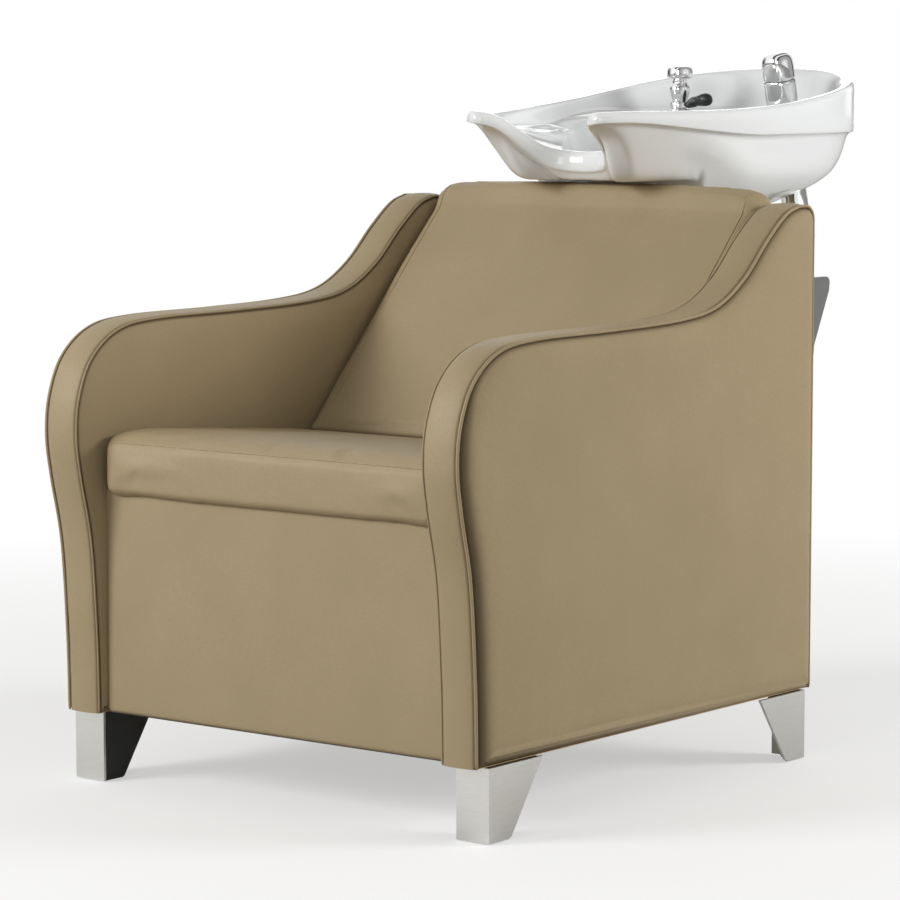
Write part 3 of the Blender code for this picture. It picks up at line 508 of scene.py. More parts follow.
def build_arm(side_name, side):
    """One arm: band over its front and top, outer and inner panels, and the welts between them."""
    band_in, band_out = BAND_LOW.x, PANEL_LOW.x
    across = [(0.0000, -0.0042), (0.0008, -0.0022), (0.0024, -0.0006), (0.0055, 0.0006), (0.0110, 0.0015)]
    width = band_out - band_in
    section = [(band_in + x, h) for x, h in across]
    section += [(band_in + width * 0.38, 0.0022), (band_in + width * 0.62, 0.0022)]
    section += [(band_out - x, h) for x, h in reversed(across)]
    path = arm_path()
    rings, seam_shade = [], []
    for index, point in enumerate(path):
        along = path[min(index + 1, len(path) - 1)] - path[max(index - 1, 0)]
        out = Vector((-along.y, along.x)).normalized()
        flat_rear = fade(point.x, BODY_REAR - 0.004, BODY_REAR) * fade(BAND_HIGH.z - point.y, 0.02, 0.05)
        ring = []
        for x, h in section:
            ripple = noise.noise(Vector((x * 30, point.x * 14, point.y * 14)))
            p = point + out * (h * lerp(1.0, 0.1, flat_rear) + 0.0004 * ripple)
            ring.append(Vector((side * x, p.x, p.y)))
            # painted shade: the band darkens within a few millimetres of its edges, where it folds into the
            # seams
            seam_shade.append(1.0 - fade(min(x - band_in, band_out - x), 0.0005, 0.0045))
        for x in (band_out - 0.001, band_in + 0.001):
            p = point - out * 0.010
            ring.append(Vector((side * x, p.x, p.y)))
            seam_shade.append(0.0)
        rings.append(ring)
    band = new_piece(f"arm_band_cover_{side_name}", *rings_mesh(rings), LEATHER, seam_shade)
    sharpen(band, 60)
    settle(band, CHAIR, "upholstery", f"arm_band_{side_name}")

    def front_shade(y, z):
        """The painted shade along the seams is widest down the panel's front edge."""
        return lerp(0.30, 1.0, fade(-y, 0.470, 0.560) * fade(-z, -0.580, -0.470))

    outer = panel(f"arm_outer_cover_{side_name}", arm_path(EDGE_INSET),
                  lambda a, b, h: Vector((side * (PANEL_LOW.x - 0.006 + h), a, b)),
                  0.0183, 0.026, 0.0015, seed=3.0 + side, groove=0.021, shade=front_shade)
    settle(outer, CHAIR, "upholstery", f"arm_outer_panel_{side_name}")

    liner = [p for p in arm_path(EDGE_INSET) if p.x < LINER_HIGH.y]
    tuck = FRONT_LOW.y + 0.045     # the lower end is tucked in behind the front panel
    liner += [Vector((LINER_HIGH.y, liner[-1].y)), Vector((LINER_HIGH.y, LINER_LOW.z)),
              Vector((tuck, LINER_LOW.z)), Vector((tuck, liner[0].y))]
    liner = resample(liner + liner[:1], 0.006)[:-1]
    inner = panel(f"arm_inner_cover_{side_name}", liner,
                  lambda a, b, h: Vector((side * (BAND_LOW.x + 0.004 - h), a, b)),
                  0.0095, 0.036, 0.0015, seed=9.0 + side)
    settle(inner, CHAIR, "upholstery", f"arm_inner_panel_{side_name}")

    welts = (("outer", band_out + 0.0012, 0.0021, 0.0012), ("inner", band_in, 0.0013, 0.0016))
    for welt_name, x, radius, drop in welts:
        line = [Vector((side * x, p.x, p.y)) for p in arm_path(drop, 0.004)]
        welt = tube(f"arm_welt_{welt_name}_{side_name}", line, radius, LEATHER)
        settle(welt, CHAIR, "upholstery")


def rectangle(low, high):
    """A closed 2-D rectangle with slightly rounded corners, clockwise."""
    spacing, radius = 0.008, 0.004
    corners = [((low[0] + radius, high[1] - radius), 180, 90), ((high[0] - radius, high[1] - radius), 90, 0),
               ((high[0] - radius, low[1] + radius), 0, -90), ((low[0] + radius, low[1] + radius), -90, -180)]
    path = []
    for centre, start, end in corners:
        path += arc(centre, radius, start, end, 3)
    return resample(path + path[:1], spacing)[:-1]


def build_body_panels():
    half = FRONT_HIGH.x
    front = panel("front_cover", rectangle((-half, BODY_BOTTOM), (half, SEAT_LOW.z + 0.012)),
                  lambda a, b, h: Vector((a, FRONT_LOW.y + 0.007 - h, b)), 0.0060, 0.008, 0.0015, seed=1.0)
    settle(front, CHAIR, "upholstery", "front_panel")
    rear = panel("rear_cover", rectangle((-half, BODY_BOTTOM), (half, REAR_HIGH.z)),
                 lambda a, b, h: Vector((a, BODY_REAR - 0.006 + h, b)), 0.0050, 0.008, 0.0004,
                 wave=0.0003, seed=2.0)
    settle(rear, CHAIR, "upholstery", "rear_panel")


# ---- cushions -----------------------------------------------------------------------------------
def lay_on(piece, points, direction):
    """Where lines from the points along direction meet a piece."""
    tree = BVHTree.FromObject(piece, bpy.context.evaluated_depsgraph_get())
    hits = [tree.ray_cast(point, direction)[0] for point in points]
    return [hit for hit in hits if hit is not None]


def cushion_mesh(name, outline, half, corner):
    """An extruded (y, z) outline across X whose ends draw in over corner, as a stuffed case does."""
    steps, slices = 7, 24
    stations = [(-half + corner * (1 - math.cos(math.pi / 2 * k / steps)),
                 corner * (1 - math.sin(math.pi / 2 * k / steps))) for k in range(steps + 1)]
    stations += [(lerp(-half + corner, half - corner, k / slices), 0.0) for k in range(1, slices)]
    stations += [(-x, inset) for x, inset in reversed(stations[:steps + 1])]
    rings = [[Vector((x, p.x, p.y)) for p in inward(outline, inset)] for x, inset in stations]
    return new_piece(name, *rings_mesh(rings), LEATHER)


def inflate(piece, pressure, cap):
    """Swell a closed mesh as a stuffed cushion with a short cloth simulation, by cap at most."""
    frames = 20
    remesh = piece.modifiers.new("remesh", "REMESH")
    remesh.mode = "VOXEL"
    remesh.voxel_size = 0.006
    remesh.use_smooth_shade = True
    graph = bpy.context.evaluated_depsgraph_get()
    even = bpy.data.meshes.new_from_object(piece.evaluated_get(graph))
    piece.modifiers.clear()
    piece.data = even
    rest = np.array([v.co for v in even.vertices], float)
    cloth = piece.modifiers.new("cloth", "CLOTH")
    cloth.settings.quality = 5
    cloth.settings.mass = 0.3
    cloth.settings.tension_stiffness = cloth.settings.compression_stiffness = 25
    cloth.settings.bending_stiffness = 2.0
    cloth.settings.use_pressure = True
    cloth.settings.uniform_pressure_force = pressure
    cloth.settings.effector_weights.gravity = 0
    cloth.point_cache.frame_start, cloth.point_cache.frame_end = 1, frames
    scene = bpy.context.scene
    for step in range(1, frames + 1):
        scene.frame_set(step)
    graph = bpy.context.evaluated_depsgraph_get()
    swollen = bpy.data.meshes.new_from_object(piece.evaluated_get(graph))
    piece.modifiers.clear()
    scene.frame_set(1)
    moved = np.array([v.co for v in swollen.vertices], float)
    shift = moved - rest
    shift -= shift.mean(0)
    length = np.linalg.norm(shift, axis=1, keepdims=True)
    shift *= np.minimum(1.0, cap / np.maximum(length, 1e-9))
    swollen.vertices.foreach_set("co", (rest + shift).ravel())
    piece.data = swollen
    piece.data.shade_smooth()


def limit(piece, low, high):
    """Press a cushion flat against its neighbours: ease its points back inside a box."""
    soft = 0.004
    co = np.array([v.co for v in piece.data.vertices], float)
    for axis in range(3):
        if low[axis] is not None:
            over = low[axis] + soft - co[:, axis]
            near = over > 0
            co[near, axis] = low[axis] + soft - soft * np.tanh(over[near] / soft)
        if high[axis] is not None:
            over = co[:, axis] - (high[axis] - soft)
            near = over > 0
            co[near, axis] = high[axis] - soft + soft * np.tanh(over[near] / soft)
    piece.data.vertices.foreach_set("co", co.ravel())
    piece.data.update()


def seat_outline():
    """Side outline of the seat cushion: round nose at the front, top falling towards the back."""
    front, bottom, top = SEAT_LOW.y + 0.003, SEAT_LOW.z + 0.002, SEAT_HIGH.z - 0.003
    nose = 0.022
    outline = [Vector((-0.130, bottom)), Vector((front + 0.012, bottom))]
    outline += arc((front + 0.009, bottom + 0.009), 0.009, 270, 180, 4)
    outline += arc((front + nose, top - nose), nose, 180, 90, 6)
    outline += [Vector((-0.520, top + 0.001)), Vector((-0.440, top - 0.004)),
                Vector((-0.320, top - 0.014)), Vector((-0.230, top - 0.022)),
                Vector((-0.180, top - 0.030)), Vector((-0.130, bottom + 0.012))]
    return outline


def build_seat():
    seat = cushion_mesh("seat_cover", seat_outline(), SEAT_HIGH.x, 0.014)
    inflate(seat, 3.0, 0.006)
    limit(seat, (-SEAT_HIGH.x, SEAT_LOW.y - 0.004, SEAT_LOW.z), (SEAT_HIGH.x, None, SEAT_HIGH.z + 0.006))
    subdivide(seat, 1)
    settle(seat, CHAIR, "upholstery", "seat_cushion")
    half = SEAT_HIGH.x - 0.010
    line = [Vector((lerp(-half, half, k / 90), SEAT_LOW.y - 0.050, SEAT_HIGH.z - 0.011)) for k in range(91)]
    welt = tube("seat_welt", lay_on(seat, line, Vector((0, 1, 0))), 0.0013, LEATHER)
    settle(welt, CHAIR, "upholstery")


def back_point(up, behind):
    """A point (y, z) in the back's own frame: up its face from its foot, and behind the face."""
    return Vector((BACK_FOOT[0] + up * math.sin(RECLINE) + behind * math.cos(RECLINE),
                   BACK_FOOT[1] + up * math.cos(RECLINE) - behind * math.sin(RECLINE)))


def back_outline():
    """Side outline of the back cushion: straight face, round crown over the rear, hidden underside."""
    top = BACK_HIGH.z + 0.003
    face_top = back_point(0.412, 0.002)
    outline = [back_point(0.004, 0.003), back_point(0.100, 0.002), back_point(0.200, 0.002),
               back_point(0.300, 0.002), face_top]
    outline += [Vector((face_top.x + 0.012, top - 0.0145)), Vector((face_top.x + 0.026, top - 0.0050)),
                Vector((BODY_REAR - 0.020, top)), Vector((BODY_REAR - 0.007, top - 0.004)),
                Vector((BODY_REAR - 0.001, top - 0.013)), Vector((BODY_REAR - 0.002, REAR_HIGH.z + 0.003))]
    outline += [Vector((BODY_REAR - 0.018, 0.735)), Vector((0.120, 0.690)), back_point(0.200, 0.060),
                back_point(0.100, 0.060), back_point(0.012, 0.056)]
    return outline


def crown_drop(x):
    """How much the back's top lies lower at x than in its middle: rounded corners above the arms."""
    reach, corner = BACK_HIGH.x, 0.019
    beyond = min(max(abs(x) - (reach - corner), 0.0), corner)
    return 0.0060 * (abs(x) / reach) ** 2 + corner - math.sqrt(corner ** 2 - beyond ** 2 * 0.98)


def build_back():
    back = cushion_mesh("back_cover", back_outline(), BACK_HIGH.x, 0.006)
    shelf = BACK_HIGH.z - 0.060
    for vertex in back.data.vertices:
        share = fade(vertex.co.z, shelf, BACK_HIGH.z)
        vertex.co.z -= crown_drop(vertex.co.x) * share
    inflate(back, 2.0, 0.004)
    limit(back, (-BACK_HIGH.x, None, None), (BACK_HIGH.x, BODY_REAR + 0.001, BACK_HIGH.z + 0.001))
    subdivide(back, 1)
    settle(back, CHAIR, "upholstery", "back_cushion")
    over = Vector((0, math.cos(RECLINE), -math.sin(RECLINE)))
    for side_name, side in (("left", 1), ("right", -1)):
        x = side * (BACK_HIGH.x - 0.020)
        line = [Vector((x, *back_point(lerp(0.015, 0.450, k / 80), -0.060))) for k in range(81)]
        welt = tube(f"back_welt_{side_name}", lay_on(back, line, over), 0.0011, LEATHER)
        settle(welt, CHAIR, "upholstery")


# ---- basin --------------------------------------------------------------------------------------
STATIONS = 192                     # sections round the rim
FOOT_R = 0.055
# The belly at the rear, along the front and under the horns: height share against distance share.
BELLY_REAR = [(0.00, 0.00), (0.12, 0.05), (0.30, 0.14), (0.50, 0.27), (0.66, 0.375), (0.78, 0.455),
              (0.87, 0.55), (0.94, 0.67), (0.98, 0.85), (1.00, 1.00)]
BELLY_FRONT = [(0.00, 0.00), (0.12, 0.05), (0.30, 0.15), (0.55, 0.32), (0.70, 0.46), (0.80, 0.63),
               (0.90, 0.81), (1.00, 1.00)]
BELLY_HORN = [(0.00, 0.00), (0.12, 0.05), (0.30, 0.15), (0.55, 0.32), (0.70, 0.48), (0.78, 0.68),
              (0.82, 0.84), (0.90, 0.93), (1.00, 1.00)]
BELLY_STEPS = (0.12, 0.24, 0.36, 0.48, 0.58, 0.67, 0.75, 0.82, 0.88, 0.92, 0.955, 0.98, 1.00)


def rim_stations():
    """Rim crest points at equal distances right round, starting at the middle of the rear."""
    path = smooth_path(RIM_HALF, 16)
    length = sum((two - one).length for one, two in zip(path, path[1:]))
    half = resample(path, length / (STATIONS // 2))
    return half + [Vector((-p.x, p.y, p.z)) for p in reversed(half[1:-1])]


def oval(share, sign, half_width, half_length, centre_y, height):
    """A point of an oval ring; share goes from 0 at its rear to 1 at its front, on one side."""
    turn = math.pi / 2 - math.pi * share
    return Vector((sign * half_width * math.cos(turn), centre_y + half_length * math.sin(turn), height))


def drain_ring(share, sign, radius, height):
    return oval(share, sign, radius, radius, DRAIN[1], height)


def height_at(share, marks):
    """Height share of the belly against its distance share from the foot to the rim."""
    for (x0, y0), (x1, y1) in zip(marks, marks[1:]):
        if share <= x1:
            return lerp(y0, y1, (share - x0) / (x1 - x0))
    return 1.0


def belly_floor(y):
    """The lowest the belly may lie: above the chair's back, and free behind it."""
    return lerp(BACK_CLEARANCE[1], BASIN_BOTTOM, fade(y, BACK_CLEARANCE[0], DRAIN[1] - FOOT_R))


def bowl_points(share, sign, p, n):
    """The inside of one section, from the drain up the bowl and its wall to the rim's crest p."""
    rear = 1.0 - fade(share, 0.30, 0.52)
    neck = fade(share, 0.74, 1.0)
    lip = fade(share, 0.74, 0.86)
    narrow = 1.0 - 0.42 * fade(share, 0.735, 0.785) * (1.0 - fade(share, 0.805, 0.865))   # in a horn's tip
    wide = lerp(1.0, 1.45, lip) * narrow
    late = max(share - 0.5, 0.0) / 0.5
    around = share - 0.14 * 6.75 * late ** 2 * (1.0 - late)     # spreads the sections round the neck

    def ring(half_width, half_length, centre_y, height):
        return oval(around, sign, half_width, half_length - 0.008 * neck, centre_y, height)

    def inside(distance, drop):
        return p - n * distance - Vector((0, 0, drop))

    mouth = ring(0.150, 0.122, 0.298, lerp(lerp(0.842, DECK_Z, rear), 0.7935, neck))
    wall_foot = inside(lerp(lerp(0.021, 0.027, rear), 0.0260, lip) * narrow, 0.0)
    wall_foot.z = lerp(lerp(p.z - 0.026, DECK_Z, rear), p.z - 0.0055, lip)
    levels = []
    for along in (0.14, 0.42, 0.74):
        point = wall_foot.lerp(mouth, along)
        point.z = lerp(lerp(wall_foot.z, mouth.z, fade(along, -0.15, 1.12)), DECK_Z - 0.0005, rear)
        levels.append(point)
    return [drain_ring(share, sign, DRAIN_R, 0.7060), drain_ring(share, sign, DRAIN_R, 0.7180),
            drain_ring(share, sign, DRAIN_R + 0.004, 0.7200),
            ring(0.050, 0.048, 0.277, 0.7210), ring(0.085, 0.076, 0.282, 0.7285),
            ring(0.114, 0.094, 0.290, 0.7440), ring(0.134, 0.108, 0.296, lerp(0.7800, 0.7630, neck)),
            ring(0.144, 0.117, 0.298, lerp(0.8200, 0.7790, neck)), mouth, levels[2], levels[1], levels[0],
            wall_foot, inside(0.0160 * wide, lerp(0.0150, 0.0034, lip)),
            inside(0.0112 * wide, lerp(0.0062, 0.0018, lip)),
            inside(0.0058 * wide, lerp(0.0014, 0.0004, lip)), p]


def belly_points(share, sign, p, n):
    """The outside of one section, from the rim's crest p over the skirt and down the belly."""
    lip = fade(share, 0.79, 0.885)
    front = fade(share, 0.48, 0.66)
    horn = fade(share, 0.755, 0.805) * (1.0 - fade(share, 0.90, 1.00))
    skirt_z = lerp(lerp(SKIRT_Z, p.z - 0.016, fade(share, 0.50, 0.78)), p.z - 0.0290, lip)
    under = Vector((p.x, p.y, 0)) - n * lerp(0.001, -0.004, lip)
    fall = p.z - skirt_z
    bead = lerp(min(fall, 0.016), fall, lip)       # how far down the rim's round edge reaches
    points = []
    for out, down in ((0.0052, 0.08), (0.0082, 0.30), (0.0093, 0.58), (0.0094, 0.84)):
        point = p + n * out
        points.append(Vector((point.x, point.y, p.z - bead * down)))
    edge = p + n * lerp(0.0092, 0.0080, lip)
    points += [Vector((edge.x, edge.y, skirt_z + 0.0009)), Vector((edge.x, edge.y, skirt_z)) - n * 0.0014]
    foot = drain_ring(share, sign, FOOT_R, BASIN_BOTTOM)
    steps = list(BELLY_STEPS)
    if under.y < BACK_CLEARANCE[0]:
        knee = (foot.y - BACK_CLEARANCE[0]) / (foot.y - under.y)
        steps[min(range(len(steps)), key=lambda step: abs(steps[step] - knee))] = knee
    for t in reversed(steps):
        height = lerp(height_at(t, BELLY_REAR), height_at(t, BELLY_FRONT), front)
        height = lerp(height, height_at(t, BELLY_HORN), horn)
        x, y = lerp(foot.x, under.x, t), lerp(foot.y, under.y, t)
        points.append(Vector((x, y, max(lerp(BASIN_BOTTOM, skirt_z - 0.0015, height), belly_floor(y)))))
    return points + [foot, drain_ring(share, sign, FOOT_R - 0.004, BASIN_BOTTOM - 0.0002),
                     drain_ring(share, sign, DRAIN_R + 0.006, BASIN_BOTTOM),
                     drain_ring(share, sign, DRAIN_R, BASIN_BOTTOM + 0.001)]


def build_basin():
    stations = rim_stations()
    sections = []
    for index, p in enumerate(stations):
        along = stations[(index + 1) % STATIONS] - stations[index - 1]
        n = Vector((-along.y, along.x, 0.0)).normalized()
        share = 1.0 - abs(1.0 - 2.0 * index / STATIONS)
        sign = 1 if index <= STATIONS // 2 else -1
        sections.append(bowl_points(share, sign, p, n) + belly_points(share, sign, p, n))
    rings = [list(ring) for ring in zip(*sections)]
    basin = new_piece("basin_china", *rings_mesh(rings, closed_along=True), CERAMIC)
    subdivide(basin, 2)
    settle(basin, BASIN_BODY, "ceramic", "basin")


# ---- taps ---------------------------------------------------------------------------------------
def build_mixer():
    place = (*MIXER, DECK_Z)
    shank = [(0.0125, -0.1500), (0.0135, -0.1490), (0.0135, 0.0002)]
    body = [(0.0184, 0.0003), (0.0190, 0.0012), (0.0188, 0.0021), (0.0178, 0.0028), (0.0122, 0.0036),
            (0.0112, 0.0052), (0.0110, 0.0100), (0.0114, 0.0155), (0.0128, 0.0205), (0.0146, 0.0260),
            (0.0155, 0.0312), (0.0148, 0.0355), (0.0124, 0.0390), (0.0110, 0.0415), (0.0110, 0.0452)]
    whole = shank + [tuple(pair) for pair in smooth_path(body, 4)]
    settle(turned("mixer_tap_body", whole, CHROME, place), BASIN_BODY, "chrome", "mixer_body")
    knob = [(0.0100, 0.0455), (0.0108, 0.0468), (0.0150, 0.0478), (0.0180, 0.0492), (0.0189, 0.0520),
            (0.0189, 0.0570), (0.0182, 0.0615), (0.0162, 0.0646), (0.0120, 0.0663), (0.0060, 0.0671),
            (0.0010, 0.0673)]
    settle(turned("mixer_tap_knob", knob, CHROME, place, steps=4), "flow_knob", "chrome", "mixer_knob")


def build_mixer_lever():
    """Temperature lever: a ring round the mixer and a two-lobed black handle with a grey line laid on it as a
    painted highlight.
    """
    place = Vector((*MIXER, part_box("mixer_lever")[0].z))
    ring = [(0.0125, 0.0002), (0.0146, 0.0000), (0.0152, 0.0010), (0.0151, 0.0072), (0.0144, 0.0086),
            (0.0125, 0.0088)]
    base = turned("mixer_lever_ring", ring, CHROME, place, hollow=True)
    sharpen(base, 40)
    turn = Matrix.Translation(place) @ Matrix.Rotation(math.radians(-4), 4, "Z")
    spine = smooth_path([(0.0128, 0.0050, 0.0040, 0.0036), (0.0170, 0.0062, 0.0066, 0.0056),
                         (0.0235, 0.0086, 0.0088, 0.0076), (0.0295, 0.0100, 0.0090, 0.0078),
                         (0.0345, 0.0108, 0.0082, 0.0072), (0.0410, 0.0124, 0.0092, 0.0090),
                         (0.0480, 0.0130, 0.0094, 0.0096), (0.0545, 0.0128, 0.0076, 0.0080),
                         (0.0580, 0.0122, 0.0040, 0.0044)], 5)
    turns = circle_turns(28)
    rings = [[turn @ Vector((x, half_width * math.cos(t), z + half_height * math.sin(t))) for t in turns]
             for x, z, half_width, half_height in spine]
    handle = new_piece("mixer_lever_handle", *rings_mesh(rings), BLACK)
    # painted highlight: a thin grey cord along the handle stands in for a highlight stripe on the black
    # plastic
    shares = [k / 16 for k in range(17)]
    line = [turn @ Vector((lerp(0.0190, 0.0440, share), -0.0300,
                           lerp(0.0030, 0.0190, math.sin(math.pi / 2 * share)))) for share in shares]
    highlight_mark = tube("mixer_lever_highlight_line", lay_on(handle, line, Vector((0, 1, 0))), 0.0008, PAINT, sides=8)
    settle(base, "temperature_lever", "chrome")
    settle(handle, "temperature_lever", "black_plastic", "mixer_lever")
    settle(highlight_mark, "temperature_lever", "grey_steel")


def superellipse(half_width, half_depth, power):
    """A 2-D ring: an ellipse at power 2, squarer above it."""
    def bent(value):
        return math.copysign(abs(value) ** (2 / power), value)

    return [(half_width * bent(math.cos(t)), half_depth * bent(math.sin(t))) for t in circle_turns(72)]


def build_handset():
    """The pull-out spray in its sleeve: a flat-fronted body, a black ring in the joint as painted shadow and
    a domed head.
    """
    turn = Matrix.Translation((*HANDSET, DECK_Z)) @ Matrix.Rotation(HANDSET_LEAN, 4, "X")

    def shaped(name, sections, material, stem=()):
        rings = [[turn @ Vector((x, y, z)) for x, y in superellipse(width, depth, power)]
                 for width, depth, power, z in [*stem, *smooth_path(sections, 4)]]
        return new_piece(name, *rings_mesh(rings), material)

    stem = [(0.0120, 0.0120, 2.0, -0.1000), (0.0139, 0.0139, 2.0, -0.0970), (0.0139, 0.0139, 2.0, 0.0108)]
    body = [(0.0180, 0.0162, 2.3, 0.0110), (0.0200, 0.0179, 2.5, 0.0120), (0.0214, 0.0190, 2.7, 0.0150),
            (0.0220, 0.0196, 2.9, 0.0250), (0.0220, 0.0198, 2.9, 0.0370), (0.0219, 0.0198, 2.8, 0.0455),
            (0.0212, 0.0192, 2.7, 0.0480)]
    # painted shadow: a black ring stands in for the dark line of shade at the joint between body and head
    ring = [(0.0204, 0.0185, 2.7, 0.0478), (0.0204, 0.0185, 2.7, 0.0496)]
    head = [(0.0214, 0.0194, 2.7, 0.0494), (0.0221, 0.0200, 2.7, 0.0506), (0.0222, 0.0203, 2.6, 0.0600),
            (0.0220, 0.0202, 2.5, 0.0700), (0.0207, 0.0191, 2.4, 0.0785), (0.0172, 0.0160, 2.2, 0.0846),
            (0.0116, 0.0110, 2.1, 0.0877), (0.0040, 0.0038, 2.0, 0.0886)]
    settle(shaped("spray_body", body, CHROME, stem), "handset", "chrome", "handset_body")
    settle(shaped("spray_joint_shadow", ring, BLACK), "handset", "black_plastic", "handset_ring")
    settle(shaped("spray_head", head, CHROME), "handset", "chrome", "handset_head")

    place = (*HANDSET, DECK_Z)
    sleeve = [(0.0160, -0.2000), (0.0176, -0.2003), (0.0190, -0.1990), (0.0190, -0.1200), (0.0190, 0.0030),
              (0.0226, 0.0056), (0.0245, 0.0070), (0.0245, 0.0088), (0.0225, 0.0098), (0.0168, 0.0100),
              (0.0160, 0.0090)]
    piece = turned("spray_sleeve", sleeve, CHROME, place, lean=HANDSET_LEAN, hollow=True)
    sharpen(piece, 50)
    settle(piece, BASIN_BODY, "chrome", "handset_sleeve")


def build_waste():
    place = (*DRAIN, 0.0)
    flange = [(0.0220, 0.6700), (0.0250, 0.6700), (0.0250, 0.7190), (0.0280, 0.7218), (0.0335, 0.7225),
              (0.0340, 0.7236), (0.0330, 0.7246), (0.0285, 0.7244), (0.0245, 0.7228), (0.0226, 0.7196),
              (0.0220, 0.7150)]
    piece = turned("waste_ring", flange, CHROME, place, hollow=True)
    sharpen(piece, 50)
    settle(piece, BASIN_BODY, "chrome", "waste_flange")


# ---- CAD nodes ----------------------------------------------------------------------------------
# Material and rounded-edge width for each slot.
KEPT = {
    "satin_steel": (SATIN, 0.0008), "black_plastic": (FOOT, 0.0012), "grey_steel": (PAINT, 0.0008),
    "bright_steel": (BRIGHT, 0.0), "plywood": (PLYWOOD, 0.001), "rubber": (RUBBER, 0.0),
    "white_plastic": (WHITE, 0.0), "chrome": (CHROME, 0.0), "ceramic": (CERAMIC, 0.0),
    "upholstery": (LEATHER, 0.0),
}


def dress_kept_nodes():
    """Give every CAD node its finish, and the flat-sided ones a fine rounded edge."""
    slots = {part["node"]: part["material_slot"] for part in frame["record"]["subparts"]}
    for name, node in frame["nodes"].items():
        material, width = KEPT[slots[name]]
        node.data.materials.clear()
        node.data.materials.append(BLACK if name == "tilt_lock_lever" else material)
        if width and not node.hide_render:
            edge = node.modifiers.new("edge", "BEVEL")
            edge.width = width
            edge.segments = 2
            edge.limit_method = "ANGLE"
            edge.angle_limit = math.radians(40)


# ---- stage, light and camera --------------------------------------------------------------------
def build_stage():
    """A pale floor that runs into white with distance; diffuse bounces see a duller one."""
    s = Shader("pale_floor", Roughness=0.9, Specular_IOR_Level=0.1)
    away = s.add("ShaderNodeVectorMath", operation="LENGTH")
    s.link(s.place, away.inputs[0])
    far = s.between(away.outputs["Value"], 0.50, 1.0, 0.8, 2.4)
    path = s.add("ShaderNodeLightPath")
    direct = path.outputs["Is Camera Ray"]
    s.link(s.mix(path.outputs["Is Diffuse Ray"], (0.93, 0.93, 0.93), (0.30, 0.29, 0.27)),
           s.shader.inputs["Base Color"])
    glow = s.add("ShaderNodeEmission")
    glow.inputs["Color"].default_value = (1.0, 1.0, 1.0, 1.0)
    blend = s.add("ShaderNodeMixShader")
    both = s.add("ShaderNodeMath", operation="MULTIPLY")
    s.link(far, both.inputs[0])
    s.link(direct, both.inputs[1])
    s.link(both.outputs["Value"], blend.inputs["Fac"])
    s.link(s.shader.outputs["BSDF"], blend.inputs[1])
    s.link(glow.outputs["Emission"], blend.inputs[2])
    s.link(blend.outputs["Shader"], s.tree.nodes["Material Output"].inputs["Surface"])
    sides, radii, level = 96, (0.5, 4.0, 40.0), -0.0005
    points = [(r * math.cos(t), r * math.sin(t), level) for r in radii for t in circle_turns(sides)]
    faces = [tuple(range(sides))]
    for ring in range(len(radii) - 1):
        faces += [face[::-1] for face in band_faces(ring, ring + 1, sides)]
    mesh = bpy.data.meshes.new("floor")
    mesh.from_pydata(points, [], faces)
    mesh.materials.append(s.material)
    floor = bpy.data.objects.new("floor", mesh)
    bpy.context.scene.collection.objects.link(floor)


def area_light(name, place, target, size, power, mirrored=True):
    """A soft lamp; one that isn't mirrored lights matt surfaces only."""
    light = bpy.data.lights.new(name, "AREA")
    light.shape = "RECTANGLE"
    light.size, light.size_y = size
    light.energy = power
    lamp = bpy.data.objects.new(name, light)
    lamp.visible_glossy = mirrored
    lamp.location = place
    lamp.rotation_euler = (Vector(target) - Vector(place)).to_track_quat("-Z", "Y").to_euler()
    bpy.context.scene.collection.objects.link(lamp)


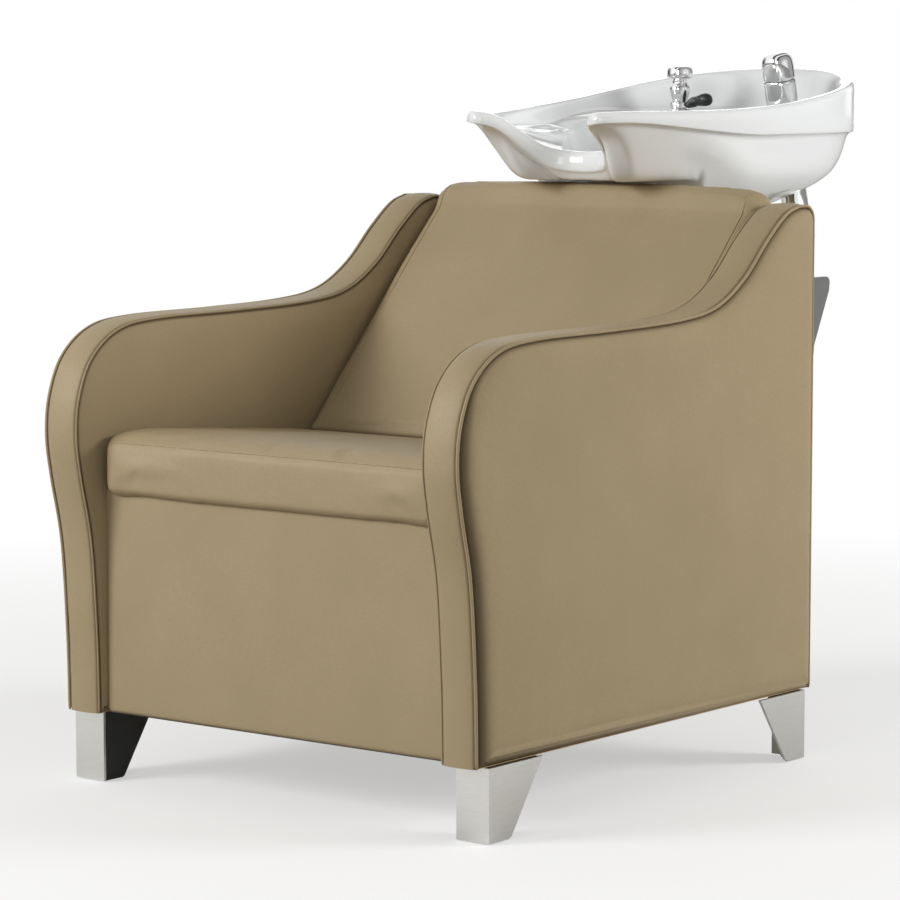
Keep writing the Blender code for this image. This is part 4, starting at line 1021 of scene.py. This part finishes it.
def build_light():
    """A white backdrop, a dim room, a studio of bright and dark strips for gloss, and soft lamps."""
    world = bpy.data.worlds.new("studio")
    bpy.context.scene.world = world
    world.use_nodes = True
    nodes, links = world.node_tree.nodes, world.node_tree.links
    room = nodes["Background"]
    room.inputs["Color"].default_value = (0.285, 0.280, 0.262, 1.0)
    split = nodes.new("ShaderNodeSeparateXYZ")
    links.new(nodes.new("ShaderNodeTexCoord").outputs["Generated"], split.inputs["Vector"])
    wave = nodes.new("ShaderNodeMath")
    wave.operation = "MULTIPLY_ADD"
    links.new(split.outputs["X"], wave.inputs[0])
    wave.inputs[1].default_value, wave.inputs[2].default_value = 0.5, 0.5
    strips = nodes.new("ShaderNodeValToRGB")
    strips.color_ramp.elements[0].color = (0.03, 0.03, 0.03, 1)
    strips.color_ramp.elements[1].color = (0.95, 0.95, 0.95, 1)
    for position, tone in ((0.10, 1.0), (0.30, 0.95), (0.35, 0.05), (0.42, 0.06), (0.47, 0.95), (0.56, 0.95),
                           (0.60, 0.04), (0.68, 0.06), (0.73, 0.38), (0.86, 0.38)):
        strips.color_ramp.elements.new(position).color = (tone, tone, tone, 1)
    links.new(wave.outputs["Value"], strips.inputs["Fac"])
    studio = nodes.new("ShaderNodeBackground")
    links.new(strips.outputs["Color"], studio.inputs["Color"])
    white = nodes.new("ShaderNodeBackground")
    white.inputs["Color"].default_value = (1.0, 1.0, 1.0, 1.0)
    path = nodes.new("ShaderNodeLightPath")
    gloss, blend = nodes.new("ShaderNodeMixShader"), nodes.new("ShaderNodeMixShader")
    links.new(path.outputs["Is Glossy Ray"], gloss.inputs["Fac"])
    links.new(room.outputs["Background"], gloss.inputs[1])
    links.new(studio.outputs["Background"], gloss.inputs[2])
    links.new(path.outputs["Is Camera Ray"], blend.inputs["Fac"])
    links.new(gloss.outputs["Shader"], blend.inputs[1])
    links.new(white.outputs["Background"], blend.inputs[2])
    links.new(blend.outputs["Shader"], nodes["World Output"].inputs["Surface"])
    middle = (0.0, -0.1, 0.50)
    area_light("key", (-1.9, -3.6, 2.2), middle, (1.6, 1.6), 112.0)
    area_light("front", (1.0, -3.7, 1.6), middle, (1.0, 1.8), 18.0)
    area_light("side", (2.9, 1.5, 1.45), (0.3, 0.3, 0.85), (1.4, 1.0), 78.0, mirrored=False)
    area_light("rear", (-1.8, 3.2, 2.0), middle, (1.6, 1.6), 14.0)


def build_camera():
    camera = bpy.data.objects.new("camera", bpy.data.cameras.new("camera"))
    camera.data.sensor_width = 36.0
    camera.data.lens = 145.7
    camera.location = (2.964, -3.996, 0.942)
    camera.rotation_euler = (math.radians(83.90), 0.0, math.radians(37.96))
    bpy.context.scene.collection.objects.link(camera)
    bpy.context.scene.camera = camera
    bpy.context.scene.view_settings.view_transform = "Standard"


build_camera()
build_light()
build_stage()
for arm_name, arm_side in (("left", 1), ("right", -1)):
    build_arm(arm_name, arm_side)
build_body_panels()
build_seat()
build_back()
build_basin()
build_mixer()
build_mixer_lever()
build_handset()
build_waste()
dress_kept_nodes()
